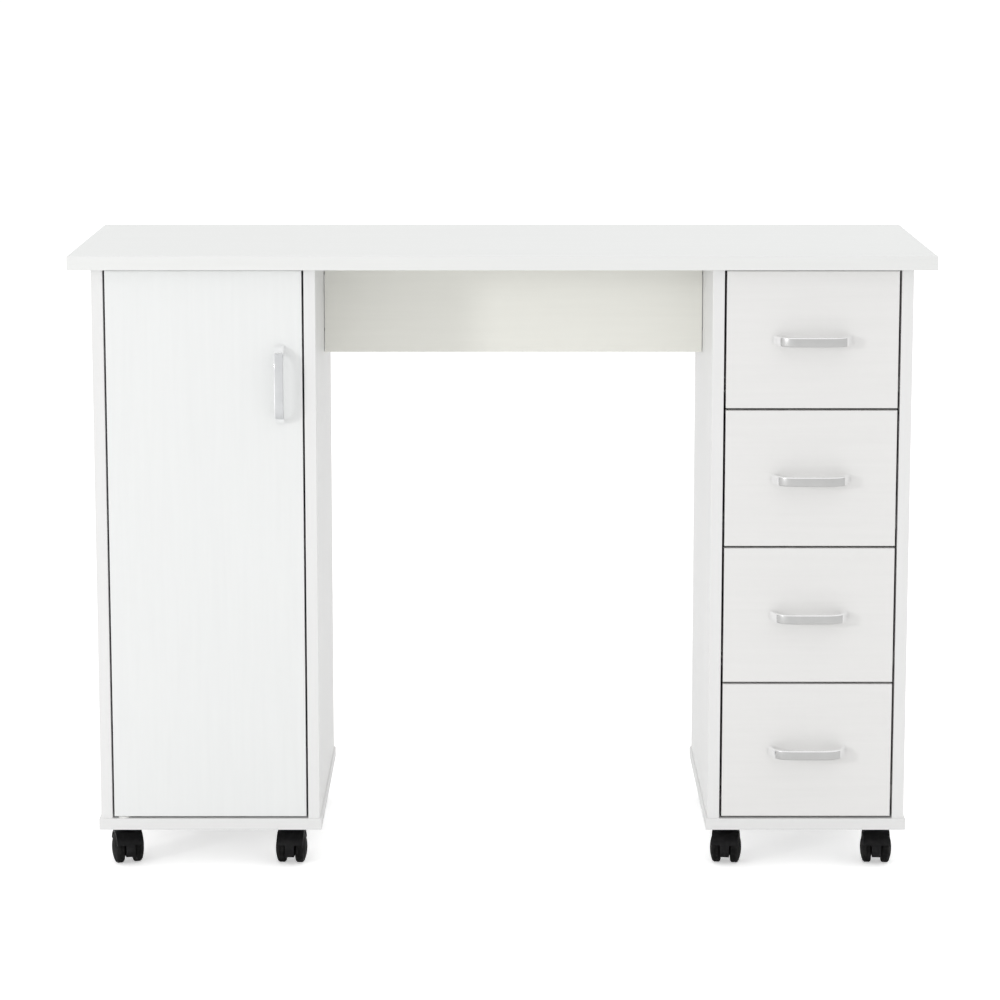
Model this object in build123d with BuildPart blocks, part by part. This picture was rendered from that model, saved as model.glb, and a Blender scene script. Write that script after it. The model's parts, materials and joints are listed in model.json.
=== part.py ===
"""
Rolling sewing table: one long top on two pedestals, with a one-door cabinet at the left,
a unit of four drawers at the right, and four twin-wheel swivel casters under each.

Millimetres. X runs to the right, Y away from the person who sits at the table, Z up.
The origin lies on the floor, under the middle of the table's outline.
"""

import os
from math import cos, radians, sin

from build123d import *

os.makedirs("parts", exist_ok=True)

# ---------------------------------------------------------------- driving sizes
top_width = 1100
top_depth = 400
top_thickness = 18
board = 15                # sides, bases, shelf, door, drawer fronts and modesty panel
side_height = 720
cabinet_width = 290       # over the cabinet's base
drawer_unit_width = 260   # over the drawer unit's base
end_overhang = 25         # top past each base
front_overhang = 20       # top past the pedestals' fronts
rear_overhang = 20        # top past the pedestals' backs
base_lip = 2.5            # base past the sides and the fronts
edge_round = 0.8          # rounding of the edge banding

back_sheet = 3            # hardboard of the backs and the drawer bottoms
back_inset = 10           # from the sides' rear edges to the back
groove_depth = 5
groove_play = 0.2         # groove wider than the sheet in it
sheet_play = 0.5          # sheet short of the bottom of its groove

shelf_height = 352        # underside of the shelf above the base
shelf_setback = 18        # shelf behind the door
shelf_play = 1            # shelf clear of each side
shelf_pin_radius = 2.5
shelf_pin_hold = 9        # pin inside the side
shelf_rest_radius = 3.5
shelf_rest_length = 8
shelf_pin_end_distance = 60        # from the front and rear edges of a side

modesty_height = 135
modesty_setback = 200     # its face behind the pedestals' fronts
modesty_play = 1          # clear of each pedestal
modesty_screw_inset = 30  # screws from the panel's upper and lower edges

door_gap = 2.5
pivot_edge_distance = 12  # pivot axis from the door's hinge edge
pivot_radius = 4
pivot_hold = 20           # pin inside the door
running_clearance = 0.05  # radial, in every pivot, kingpin and axle bore
seat_clearance = 0.3      # between a moving piece and what carries it
bush_wall = 1.95
bush_depth = 9
bush_flange = 2           # flange past the bush
bush_floor = 1            # closed end of a bush

catch_ear_length = 9      # catch's ears past its case
catch_depth = 16
catch_height = 13
catch_edge_distance = 35  # middle of the catch from the cabinet's inner side
strike_width = 30
strike_height = 12
strike_thickness = 1.2
magnet_width = 20
magnet_height = 7
magnet_case = 2           # plastic round the magnet
catch_screw_play = 0.5    # screw heads from the ends of the ears

drawer_count = 4
drawer_gap = 3
drawer_board = 12
drawer_rise = 22          # drawer sides above the bottom edge of the front
drawer_headroom = 34.25   # drawer sides below the upper edge of the front
drawer_rear_gap = 20      # drawer box ahead of the unit's back
drawer_bottom_rise = 8    # drawer bottom above the lower edge of the drawer sides
drawer_dowel_hold = 10    # dowel inside the drawer front
drawer_dowel_inset = 30   # dowels from the upper and lower edges of the drawer sides

runner_space = 12.5       # between a drawer side and its pedestal side
runner_metal = 1.2
runner_start = 2          # runners behind the drawer front
runner_end = 10           # runners end ahead of the drawer box's back
lip_clearance = 1.5       # between the channel's lips and the drawer's profile
channel_drop = 2          # inside of the channel below the drawer sides
rail_play = 0.5           # between a drawer's rail and the channel's upper lip
rail_end_gap = 2          # between a drawer's rail and its rear roller's space
profile_inset = 2         # drawer's profile short of the inner face of the drawer side
runner_screw_front = 45   # from the front end of a channel
runner_screw_rear = 35    # from its rear end
roller_radius = 7
roller_floor_gap = 0.5    # under the front roller
roller_inset = 12         # roller axle from the end of its runner
roller_lip_inset = 0.8    # roller's outer face behind the channel's lips
roller_play = 0.1
rivet_radius = 2

handle_length = 105
handle_height = 12
handle_projection = 28
handle_metal = 5
handle_bow = 4.5
handle_foot = 8.5
handle_foot_rise = 5
handle_lean = 9           # how far each leg leans in from foot to grip
handle_screw_inset = 4.5  # screws from the ends of the handle
handle_round = 1.2
handle_screw_radius = 2
handle_screw_depth = 8    # threaded hole in each foot
handle_screw_gap = 1      # between the screw's tip and the end of its hole
handle_screw_head_radius = 4
handle_screw_face_radius = 3
handle_screw_head = 2
door_handle_edge_distance = 28.5   # from the door's free edge
door_handle_drop = 146    # middle of the handle below the door's top edge

wheel_radius = 20
wheel_width = 14
wheel_edge_round = 2
wheel_dome = 3            # outer face bulges by this much
wheel_spacing = 13        # between the two wheels' inner faces
dimple_radius = 1         # moulding dimple in the middle of each wheel's outer face
axle_radius = 2.5
axle_hold = 10.5          # axle inside each wheel
caster_trail = 15
hood_clearance = 1.2      # between the wheels and the fender
hood_wall = 2.3
hood_web_play = 0.5       # web narrower than the space between the wheels, each side
hood_floor_gap = 7
hood_rim_rise = 8         # fender's lower rim above the axle
kingpin_radius = 4
kingpin_length = 21.5     # below the plate
kingpin_head_radius = 5.5 # riveted into the plate's upper face
kingpin_head = 1.5
boss_wall = 6.95
boss_neck = 7.7           # boss above the fender
plate_size = 38
plate_thickness = 2.5
plate_corner = 4
plate_hole_inset = 5      # from the plate's edges
caster_front_inset = 50   # swivel axis behind the pedestal's front
caster_rear_inset = 45    # swivel axis ahead of the pedestal's back

cam_radius = 7.5
cam_floor = 1             # cam lock past its bolt's head
cam_slot_width = 2
cam_slot_depth = 2
cam_slot_length = 9
cam_distance = 34         # cam axis below the edge of its board
cam_end_distance = 60     # from the front and rear edges of a side
cam_bolt_radius = 3
cam_bolt_head_radius = 3.5
cam_bolt_head = 4
cam_bolt_hold = 11        # thread in the top
dowel_radius = 4
dowel_length = 30
dowel_chamfer = 0.8
dowel_top_hold = 12
dowel_end_distance = 95
base_screw_end_distance = 105      # clear of the casters' plates
long_screw_radius = 2.5
long_screw_head_radius = 5
long_screw_head = 4
long_screw_socket_radius = 2
long_screw_socket_depth = 2.8
long_screw_reach = 38     # into the end of the second board
small_screw_radius = 1.75
small_screw_head_radius = 3.5
small_screw_face_radius = 2.45
small_screw_head = 2.2
small_screw_socket_radius = 1.225
small_screw_socket_depth = 1.1
small_screw_length = 12
hole_play = 0.05          # radial, round a fastener

# ---------------------------------------------------------------- worked-out places
hood_radius = wheel_radius + hood_clearance + hood_wall
hood_web = wheel_spacing - 2 * hood_web_play
boss_radius = kingpin_radius + running_clearance + boss_wall
boss_top = wheel_radius + hood_radius + boss_neck
caster_height = boss_top + seat_clearance + plate_thickness

pedestal_depth = top_depth - front_overhang - rear_overhang
base_z = caster_height
floor_z = base_z + board                  # upper face of the bases
underside_z = floor_z + side_height       # lower face of the top
top_z = underside_z + top_thickness

handle_overhang = max(handle_projection - front_overhang, 0)
top_front_y = (handle_overhang - top_depth) / 2
top_back_y = top_front_y + top_depth
front_y = top_front_y + front_overhang    # plane of the door and the drawer fronts
rear_y = front_y + pedestal_depth
panel_back_y = front_y + board            # rear face of the door and the drawer fronts
sheet_y = rear_y - back_inset - back_sheet    # front face of the backs

cabinet_x = (-top_width / 2 + end_overhang, -top_width / 2 + end_overhang + cabinet_width)
drawer_unit_x = (top_width / 2 - end_overhang - drawer_unit_width, top_width / 2 - end_overhang)
cabinet_open_x = (cabinet_x[0] + base_lip + board, cabinet_x[1] - base_lip - board)
drawer_open_x = (drawer_unit_x[0] + base_lip + board, drawer_unit_x[1] - base_lip - board)
knee_x = (cabinet_open_x[1] + board, drawer_open_x[0] - board)

door_x = (cabinet_open_x[0] + door_gap, cabinet_open_x[1] - door_gap)
door_z = (floor_z + door_gap, underside_z - door_gap)
pivot_x = door_x[0] + pivot_edge_distance
pivot_y = front_y + board / 2
cam_depth = board / 2 + cam_bolt_head_radius + cam_floor
bush_radius = pivot_radius + running_clearance + bush_wall
bush_flange_radius = bush_radius + bush_flange

front_height = (side_height - (drawer_count + 1) * drawer_gap) / drawer_count
front_pitch = front_height + drawer_gap
drawer_box_height = front_height - drawer_rise - drawer_headroom
drawer_front_x = (drawer_open_x[0] + drawer_gap, drawer_open_x[1] - drawer_gap)
drawer_box_x = (drawer_open_x[0] + runner_space, drawer_open_x[1] - runner_space)
drawer_box_y = (panel_back_y, sheet_y - drawer_rear_gap)
drawer_centre_x = (drawer_open_x[0] + drawer_open_x[1]) / 2
runner_y = (panel_back_y + runner_start, drawer_box_y[1] - runner_end)

shelf_z = floor_z + shelf_height
shelf_pin_y = (front_y + shelf_pin_end_distance, rear_y - shelf_pin_end_distance)
modesty_y = front_y + modesty_setback
modesty_z = (underside_z - modesty_height, underside_z)
modesty_screw_z = (modesty_z[0] + modesty_screw_inset, modesty_z[1] - modesty_screw_inset)
cam_y = (front_y + cam_end_distance, rear_y - cam_end_distance)
dowel_y = (front_y + dowel_end_distance, rear_y - dowel_end_distance)
base_screw_y = (front_y + base_screw_end_distance, rear_y - base_screw_end_distance)
dowel_side_hold = dowel_length - dowel_top_hold
catch_width = magnet_width + 2 * magnet_case + 2 * catch_ear_length
catch_ear_thickness = catch_height / 3
catch_x = cabinet_open_x[1] - catch_edge_distance
catch_y = panel_back_y + strike_thickness + seat_clearance

side_middles_x = [
    cabinet_open_x[0] - board / 2,
    cabinet_open_x[1] + board / 2,
    drawer_open_x[0] - board / 2,
    drawer_open_x[1] + board / 2,
]

# ---------------------------------------------------------------- helpers
EAST, WEST = (1, 0, 0), (-1, 0, 0)
NORTH, SOUTH = (0, 1, 0), (0, -1, 0)
UP, DOWN = (0, 0, 1), (0, 0, -1)


def write(piece, name):
    """Label a finished piece and write its STEP file."""
    piece.part.label = name
    export_step(piece.part, f"parts/{name}.step")


def slab(x_span, y_span, z_span, mode=Mode.ADD):
    """Add (or cut) a block between two places on each axis."""
    spans = (x_span, y_span, z_span)
    with Locations(tuple((low + high) / 2 for low, high in spans)):
        Box(*(high - low for low, high in spans), mode=mode)


on_end = (Align.CENTER, Align.CENTER, Align.MIN)


def rods(places, radius, length, mode=Mode.ADD):
    """Add (or cut) a round bar at each (start, direction) place."""
    with Locations(*[Plane(origin=start, z_dir=direction) for start, direction in places]):
        Cylinder(radius, length, align=on_end, mode=mode)


def bores(places, radius, depth):
    """Cut a round hole at each (start, direction) place."""
    rods(places, radius, depth, mode=Mode.SUBTRACT)


def cones(places, start_radius, end_radius, length, mode=Mode.ADD):
    """Add (or cut) a tapered bar at each (start, direction) place."""
    with Locations(*[Plane(origin=start, z_dir=direction) for start, direction in places]):
        Cone(start_radius, end_radius, length, align=on_end, mode=mode)


def ring(start, direction, outer_radius, inner_radius, width):
    """Add a roller: a ring that leaves start along direction."""
    with BuildSketch(Plane(origin=start, z_dir=direction)) as section:
        Circle(outer_radius)
        Circle(inner_radius, mode=Mode.SUBTRACT)
    extrude(section.sketch, amount=width)


def channel(points, y_span):
    """Add a bar along Y with the closed outline given as (x, z) points."""
    with BuildSketch(Plane.XZ.offset(-y_span[0])) as section:
        with BuildLine():
            Polyline(*points, close=True)
        make_face()
    extrude(section.sketch, amount=y_span[0] - y_span[1])


def round_edges(part, group_axis, index, radius=edge_round):
    """Round the banded edges of the board at one end of an axis."""
    fillet(part.faces().sort_by(group_axis)[index].edges(), radius)


def shift(point, direction, distance):
    """A point moved along a direction."""
    return tuple(value + distance * step for value, step in zip(point, direction))


def turned(direction):
    """The opposite direction."""
    return tuple(-step for step in direction)


# ---------------------------------------------------------------- fasteners' places
def edge_places(y_places, direction):
    """Places under the top, over the middle of each side's upper edge."""
    return [((x, y, underside_z), direction) for x in side_middles_x for y in y_places]


def long_screws():
    """Heads and directions of the screws that pull two boards together end to face."""
    places = []
    for x in side_middles_x:
        for y in base_screw_y:
            places.append(((x, y, base_z), UP))
    for z in modesty_screw_z:
        places.append(((cabinet_open_x[1], modesty_y + board / 2, z), EAST))
        places.append(((drawer_open_x[0], modesty_y + board / 2, z), WEST))
    return places


def cut_long_screws(places):
    """Cut the countersunk holes of the long screws from the boards of one piece."""
    bores(places, long_screw_radius + hole_play, board + long_screw_reach + hole_play)
    wide, narrow = long_screw_head_radius + hole_play, long_screw_radius + hole_play
    cones(places, wide, narrow, long_screw_head + hole_play, mode=Mode.SUBTRACT)


# caster places: where the swivel axis is from left to right, its row, and how far the
# caster has swivelled from pointing straight at, or straight away from, the user; they
# have stopped at slightly different turns, as they do when the table has been rolled
caster_places = [
    (cabinet_x[0] + 28, "front", 17),
    (cabinet_x[1] - 41, "front", -4),
    (drawer_unit_x[0] + 31, "front", -8),
    (drawer_unit_x[1] - 33, "front", -3),
    (cabinet_x[0] + 35, "rear", 24),
    (cabinet_x[1] - 38, "rear", -12),
    (drawer_unit_x[0] + 35, "rear", 9),
    (drawer_unit_x[1] - 35, "rear", -20),
]


def caster_plane(x, row, turn):
    """Floor-level plane on a swivel axis: its X lies along the axle, its Y along the trail."""
    y = front_y + caster_front_inset if row == "front" else rear_y - caster_rear_inset
    heading = radians(turn - 90 if row == "front" else turn + 90)
    return Plane(origin=(x, y, 0), x_dir=(sin(heading), -cos(heading), 0), z_dir=UP)


caster_planes = [caster_plane(*place) for place in caster_places]


def plate_screws(swivel):
    """Heads and directions of the four screws of one caster plate."""
    centre = swivel.origin
    half = plate_size / 2 - plate_hole_inset
    z = caster_height - plate_thickness
    corners = [(dx, dy) for dx in (-half, half) for dy in (-half, half)]
    return [((centre.X + dx, centre.Y + dy, z), UP) for dx, dy in corners]


def runner_walls():
    """Inner face and inward direction of the two sides that carry the drawer runners."""
    return [(drawer_open_x[0], 1), (drawer_open_x[1], -1)]


def drawer_low_z(number):
    """Lower edge of a drawer front, counted from the top drawer down."""
    return underside_z - number * front_pitch


def drawer_side_z(number):
    """Lower edge of a drawer's sides."""
    return drawer_low_z(number) + drawer_rise


# heights of the runners' parts, counted from the lower edge of the drawer sides
runner_bottom = -channel_drop - runner_metal
front_roller_z = roller_floor_gap - channel_drop + roller_radius
runner_flange_height = front_roller_z + roller_radius + seat_clearance + runner_metal
runner_top = runner_flange_height + rail_play + runner_metal
channel_inner_z = (runner_bottom + runner_metal, runner_top - runner_metal)
rear_roller_radius = (channel_inner_z[1] - channel_inner_z[0]) / 2 - seat_clearance
rear_roller_z = (channel_inner_z[0] + channel_inner_z[1]) / 2

# distances of the runners' parts from the pedestal side that carries them
runner_lip = runner_space - runner_metal - lip_clearance
roller_inner_face = runner_metal + small_screw_head + seat_clearance
roller_reach = (roller_inner_face, runner_lip - roller_lip_inset)
roller_width = roller_reach[1] - roller_reach[0]
runner_screw_y = (runner_y[0] + runner_screw_front, runner_y[1] - runner_screw_rear)


def runner_screws():
    """Heads and directions of the screws that hold the channels to the sides."""
    places = []
    for number in range(1, drawer_count + 1):
        z = drawer_side_z(number) + (runner_bottom + runner_top) / 2
        for wall_x, inward in runner_walls():
            for y in runner_screw_y:
                head = (wall_x + inward * runner_metal, y, z)
                places.append((head, (-inward, 0, 0)))
    return places


def catch_screws():
    """Heads and directions of the two screws of the magnetic catch."""
    y = catch_y + catch_depth / 2
    z = underside_z - catch_ear_thickness
    offset = catch_width / 2 - small_screw_head_radius - catch_screw_play
    return [((catch_x - offset, y, z), UP), ((catch_x + offset, y, z), UP)]


# ---------------------------------------------------------------- the top
with BuildPart() as table_top:
    slab((-top_width / 2, top_width / 2), (top_front_y, top_back_y), (underside_z, top_z))
    round_edges(table_top, Axis.Z, -1)
    round_edges(table_top, Axis.Z, 0)
    bores(edge_places(cam_y, UP), cam_bolt_radius + hole_play, cam_bolt_hold + hole_play)
    bores(edge_places(dowel_y, UP), dowel_radius + hole_play, dowel_top_hold + hole_play)
    bush_hole = [((pivot_x, pivot_y, underside_z), UP)]
    bores(bush_hole, bush_radius + hole_play, bush_depth + hole_play)
    bores(catch_screws(), small_screw_radius + hole_play, small_screw_length + hole_play)
write(table_top, "table_top")


# ---------------------------------------------------------------- the four sides
def side_panel(inner_x, inward, extras):
    """A side whose inner face lies at inner_x and looks along inward (+1 or -1 on X)."""
    outer_x = inner_x - inward * board
    middle_x = (inner_x + outer_x) / 2
    with BuildPart() as side:
        slab(sorted((inner_x, outer_x)), (front_y, rear_y), (floor_z, underside_z))
        fillet(side.edges().filter_by(Axis.Z), edge_round)
        groove_x = sorted((inner_x, inner_x - inward * groove_depth))
        groove_y = (sheet_y - groove_play / 2, sheet_y + back_sheet + groove_play / 2)
        slab(groove_x, groove_y, (floor_z, underside_z), mode=Mode.SUBTRACT)
        cams = [((inner_x, y, underside_z - cam_distance), (-inward, 0, 0)) for y in cam_y]
        bores(cams, cam_radius + hole_play, cam_depth + hole_play)
        bolts = [((middle_x, y, underside_z), DOWN) for y in cam_y]
        bores(bolts, cam_bolt_head_radius + hole_play, cam_distance)
        pegs = [((middle_x, y, underside_z), DOWN) for y in dowel_y]
        bores(pegs, dowel_radius + hole_play, dowel_side_hold + hole_play)
        cut_long_screws(long_screws())
        extras(inner_x, inward)
    return side


def shelf_pin_holes(inner_x, inward):
    """Holes for the two shelf pins of one cabinet side."""
    z = shelf_z - shelf_rest_radius
    places = [((inner_x, y, z), (-inward, 0, 0)) for y in shelf_pin_y]
    bores(places, shelf_pin_radius + hole_play, shelf_pin_hold + hole_play)


def runner_holes(inner_x, inward):
    """Holes for the screws of the drawer channels on one side."""
    places = [place for place in runner_screws() if place[1][0] == -inward]
    bores(places, small_screw_radius + hole_play, small_screw_length + hole_play)


sides = [
    ("cabinet_outer_side", cabinet_open_x[0], 1, shelf_pin_holes),
    ("cabinet_inner_side", cabinet_open_x[1], -1, shelf_pin_holes),
    ("drawer_unit_inner_side", drawer_open_x[0], 1, runner_holes),
    ("drawer_unit_outer_side", drawer_open_x[1], -1, runner_holes),
]
for side_name, inner_face_x, inward_sign, extra_holes in sides:
    write(side_panel(inner_face_x, inward_sign, extra_holes), side_name)


# ---------------------------------------------------------------- bases and backs
def base_panel(x_span, open_x):
    """The board under a pedestal, with the groove of the back and the caster holes."""
    with BuildPart() as base:
        slab(x_span, (front_y - base_lip, rear_y), (base_z, floor_z))
        fillet(base.edges().filter_by(Axis.X), edge_round)
        fillet(base.edges().filter_by(Axis.Z), edge_round)
        groove_y = (sheet_y - groove_play / 2, sheet_y + back_sheet + groove_play / 2)
        groove_z = (floor_z - groove_depth, floor_z)
        slab(open_x, groove_y, groove_z, mode=Mode.SUBTRACT)
        cut_long_screws(long_screws())
        swivels = [plane for plane in caster_planes if x_span[0] < plane.origin.X < x_span[1]]
        screws = [place for swivel in swivels for place in plate_screws(swivel)]
        bores(screws, small_screw_radius + hole_play, small_screw_length + hole_play)
        if x_span[0] < pivot_x < x_span[1]:
            bush_hole = [((pivot_x, pivot_y, floor_z), DOWN)]
            bores(bush_hole, bush_radius + hole_play, bush_depth + hole_play)
    return base


def back_panel(open_x):
    """The hardboard back, held in the grooves of the sides and the base."""
    reach = groove_depth - sheet_play
    with BuildPart() as back:
        slab(
            (open_x[0] - reach, open_x[1] + reach),
            (sheet_y, sheet_y + back_sheet),
            (floor_z, underside_z),
        )
        slab(
            (open_x[0] + sheet_play, open_x[1] - sheet_play),
            (sheet_y, sheet_y + back_sheet),
            (floor_z - reach, floor_z),
        )
    return back


write(base_panel(cabinet_x, cabinet_open_x), "cabinet_base")
write(base_panel(drawer_unit_x, drawer_open_x), "drawer_unit_base")
write(back_panel(cabinet_open_x), "cabinet_back")
write(back_panel(drawer_open_x), "drawer_unit_back")

# ---------------------------------------------------------------- shelf and its pins
with BuildPart() as cabinet_shelf:
    slab(
        (cabinet_open_x[0] + shelf_play, cabinet_open_x[1] - shelf_play),
        (panel_back_y + shelf_setback, sheet_y - shelf_play),
        (shelf_z, shelf_z + board),
    )
    fillet(cabinet_shelf.edges().filter_by(Axis.X).group_by(Axis.Y)[0], edge_round)
write(cabinet_shelf, "cabinet_shelf")

with BuildPart() as shelf_pins:
    for wall_x, inward in ((cabinet_open_x[0], 1), (cabinet_open_x[1], -1)):
        starts = [(wall_x, y, shelf_z - shelf_rest_radius) for y in shelf_pin_y]
        rods([(start, (-inward, 0, 0)) for start in starts], shelf_pin_radius, shelf_pin_hold)
        rods([(start, (inward, 0, 0)) for start in starts], shelf_rest_radius, shelf_rest_length)
write(shelf_pins, "shelf_pins")

# ---------------------------------------------------------------- modesty panel
with BuildPart() as modesty_panel:
    slab(
        (knee_x[0] + modesty_play, knee_x[1] - modesty_play),
        (modesty_y, modesty_y + board),
        modesty_z,
    )
    fillet(modesty_panel.edges().filter_by(Axis.X).group_by(Axis.Z)[0], edge_round)
    cut_long_screws(long_screws())
write(modesty_panel, "modesty_panel")

# ---------------------------------------------------------------- fasteners of the carcass
with BuildPart() as cam_locks:
    cam_z = underside_z - cam_distance
    for side_name, inner_x, inward, extras in sides:
        middle_x = inner_x - inward * board / 2
        rods([((inner_x, y, cam_z), (-inward, 0, 0)) for y in cam_y], cam_radius, cam_depth)
        pocket_starts = [((middle_x, y, cam_z + cam_radius), DOWN) for y in cam_y]
        pocket_depth = cam_radius + cam_bolt_head / 2
        bores(pocket_starts, cam_bolt_head_radius + hole_play, pocket_depth)
        slot_x = sorted((inner_x, inner_x - inward * cam_slot_depth))
        slot_z = (cam_z - cam_slot_width / 2, cam_z + cam_slot_width / 2)
        for y in cam_y:
            slot_y = (y - cam_slot_length / 2, y + cam_slot_length / 2)
            slab(slot_x, slot_y, slot_z, mode=Mode.SUBTRACT)
write(cam_locks, "cam_locks")

with BuildPart() as cam_bolts:
    head_drop = cam_distance + cam_bolt_head / 2 - hole_play
    heads = [(shift(place, DOWN, head_drop), UP) for place, _ in edge_places(cam_y, UP)]
    rods(heads, cam_bolt_head_radius, cam_bolt_head)
    rods(heads, cam_bolt_radius, head_drop + cam_bolt_hold)
write(cam_bolts, "cam_bolts")

with BuildPart() as dowels:
    feet = [(shift(place, DOWN, dowel_side_hold), UP) for place, _ in edge_places(dowel_y, UP)]
    rods(feet, dowel_radius, dowel_length)
    chamfer(dowels.edges().filter_by(GeomType.CIRCLE), dowel_chamfer)
write(dowels, "dowels")

with BuildPart() as long_board_screws:
    rods(long_screws(), long_screw_radius, board + long_screw_reach)
    cones(long_screws(), long_screw_head_radius, long_screw_radius, long_screw_head)
    bores(long_screws(), long_screw_socket_radius, long_screw_socket_depth)
write(long_board_screws, "long_board_screws")

with BuildPart() as small_screws:
    screws = [place for swivel in caster_planes for place in plate_screws(swivel)]
    screws += catch_screws() + runner_screws()
    rods(screws, small_screw_radius, small_screw_length)
    heads = [(head, turned(direction)) for head, direction in screws]
    cones(heads, small_screw_head_radius, small_screw_face_radius, small_screw_head)
    faces = [
        (shift(head, direction, -small_screw_head), direction) for head, direction in screws
    ]
    bores(faces, small_screw_socket_radius, small_screw_socket_depth)
write(small_screws, "small_screws")

# ---------------------------------------------------------------- door bushes and catch
flange_thickness = door_gap - seat_clearance
with BuildPart() as pivot_bushes:
    for face_z, direction in ((underside_z, UP), (floor_z, DOWN)):
        face = (pivot_x, pivot_y, face_z)
        edge = shift(face, direction, -flange_thickness)
        rods([(face, direction)], bush_radius, bush_depth)
        rods([(edge, direction)], bush_flange_radius, flange_thickness)
        socket_depth = flange_thickness + bush_depth - bush_floor
        bores([(edge, direction)], pivot_radius + running_clearance, socket_depth)
write(pivot_bushes, "pivot_bushes")

with BuildPart() as magnetic_catch:
    catch_span_y = (catch_y, catch_y + catch_depth)
    ear_x = (catch_x - catch_width / 2, catch_x + catch_width / 2)
    case_x = (catch_x - magnet_width / 2 - magnet_case, catch_x + magnet_width / 2 + magnet_case)
    slab(ear_x, catch_span_y, (underside_z - catch_ear_thickness, underside_z))
    slab(case_x, catch_span_y, (underside_z - catch_height, underside_z))
    fillet(magnetic_catch.edges().filter_by(Axis.Y).group_by(Axis.Z)[0], magnet_case / 2)
    bores(catch_screws(), small_screw_radius + hole_play, catch_height)
    pocket_x = (catch_x - magnet_width / 2, catch_x + magnet_width / 2)
    pocket_y = (catch_y, catch_y + catch_depth - magnet_case)
    magnet_low_z = underside_z - catch_height + magnet_case
    pocket_z = (magnet_low_z, magnet_low_z + magnet_height)
    slab(pocket_x, pocket_y, pocket_z, mode=Mode.SUBTRACT)
    slab(
        (pocket_x[0] + hole_play, pocket_x[1] - hole_play),
        (pocket_y[0], pocket_y[1] - hole_play),
        (pocket_z[0] + hole_play, pocket_z[1] - hole_play),
    )
write(magnetic_catch, "magnetic_catch")


# ---------------------------------------------------------------- handles
def bow_handle(face):
    """A bow handle and its two screws on a panel's face: X along the grip, Z out of the face."""
    half = handle_length / 2
    knee = half - handle_lean
    shoulder = handle_projection - handle_bow
    outline = Plane(origin=face.origin, x_dir=face.x_dir, z_dir=face.y_dir)
    with BuildPart() as handle:
        with BuildSketch(outline):
            with BuildLine():
                Polyline(
                    (-knee, -shoulder),
                    (-half, -handle_foot_rise),
                    (-half, 0),
                    (-half + handle_foot, 0),
                    (-half + handle_foot, -handle_foot_rise),
                    (-knee + handle_metal, handle_metal - shoulder),
                )
                ThreePointArc(
                    (-knee + handle_metal, handle_metal - shoulder),
                    (0, handle_metal - handle_projection),
                    (knee - handle_metal, handle_metal - shoulder),
                )
                Polyline(
                    (knee - handle_metal, handle_metal - shoulder),
                    (half - handle_foot, -handle_foot_rise),
                    (half - handle_foot, 0),
                    (half, 0),
                    (half, -handle_foot_rise),
                    (knee, -shoulder),
                )
                ThreePointArc((knee, -shoulder), (0, -handle_projection), (-knee, -shoulder))
            make_face()
        extrude(amount=handle_height / 2, both=True)
        knees = handle.edges().filter_by(Axis(face.origin, face.y_dir))
        knees = knees.sort_by(lambda edge: (edge.center() - face.origin).dot(face.z_dir))
        fillet(knees[-2:], handle_metal)
        rims = [edge for edge in handle.edges() if is_rim(edge, face)]
        fillet(rims, handle_round)
        starts = handle_screw_places(face, 0)
        bores(starts, handle_screw_radius + hole_play, handle_screw_depth)
        heads = handle_screw_places(face, -board)
        rods(heads, handle_screw_radius, board + handle_screw_depth - handle_screw_gap)
        backs = [(head, direction * -1) for head, direction in heads]
        cones(backs, handle_screw_head_radius, handle_screw_face_radius, handle_screw_head)
    return handle


def is_rim(edge, face):
    """Whether an edge borders the upper or lower side of a handle, away from its feet."""
    middle = face.to_local_coords(edge.center())
    return abs(abs(middle.Y) - handle_height / 2) < 0.01 and middle.Z > 0.01


def handle_screw_places(face, height):
    """The two screw axes of a handle at a height over the panel, pointing out of it."""
    reach = handle_length / 2 - handle_screw_inset
    offsets = (-reach, reach)
    return [(face.from_local_coords((offset, 0, height)), face.z_dir) for offset in offsets]


# ---------------------------------------------------------------- the door
door_handle_face = Plane(
    origin=(door_x[1] - door_handle_edge_distance, front_y, door_z[1] - door_handle_drop),
    x_dir=UP,
    z_dir=SOUTH,
)


def cut_handle_holes(face):
    """Cut the two screw holes of a handle through its panel."""
    bores(handle_screw_places(face, -board), handle_screw_radius + hole_play, board)


with BuildPart() as door_panel:
    slab(door_x, (front_y, panel_back_y), door_z)
    round_edges(door_panel, Axis.Y, 0)
    round_edges(door_panel, Axis.Y, -1)
    pin_holes = [((pivot_x, pivot_y, door_z[0]), UP), ((pivot_x, pivot_y, door_z[1]), DOWN)]
    bores(pin_holes, pivot_radius + hole_play, pivot_hold + hole_play)
    cut_handle_holes(door_handle_face)
write(door_panel, "door_panel")

write(bow_handle(door_handle_face), "door_handle")

with BuildPart() as door_hardware:
    pins = [
        ((pivot_x, pivot_y, door_z[0] + pivot_hold), DOWN),
        ((pivot_x, pivot_y, door_z[1] - pivot_hold), UP),
    ]
    pin_length = pivot_hold + door_gap + bush_depth - bush_floor - seat_clearance
    rods(pins, pivot_radius, pin_length)
    strike_z = magnet_low_z + magnet_height / 2
    slab(
        (catch_x - strike_width / 2, catch_x + strike_width / 2),
        (panel_back_y, panel_back_y + strike_thickness),
        (strike_z - strike_height / 2, strike_z + strike_height / 2),
    )
write(door_hardware, "door_hardware")

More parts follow.
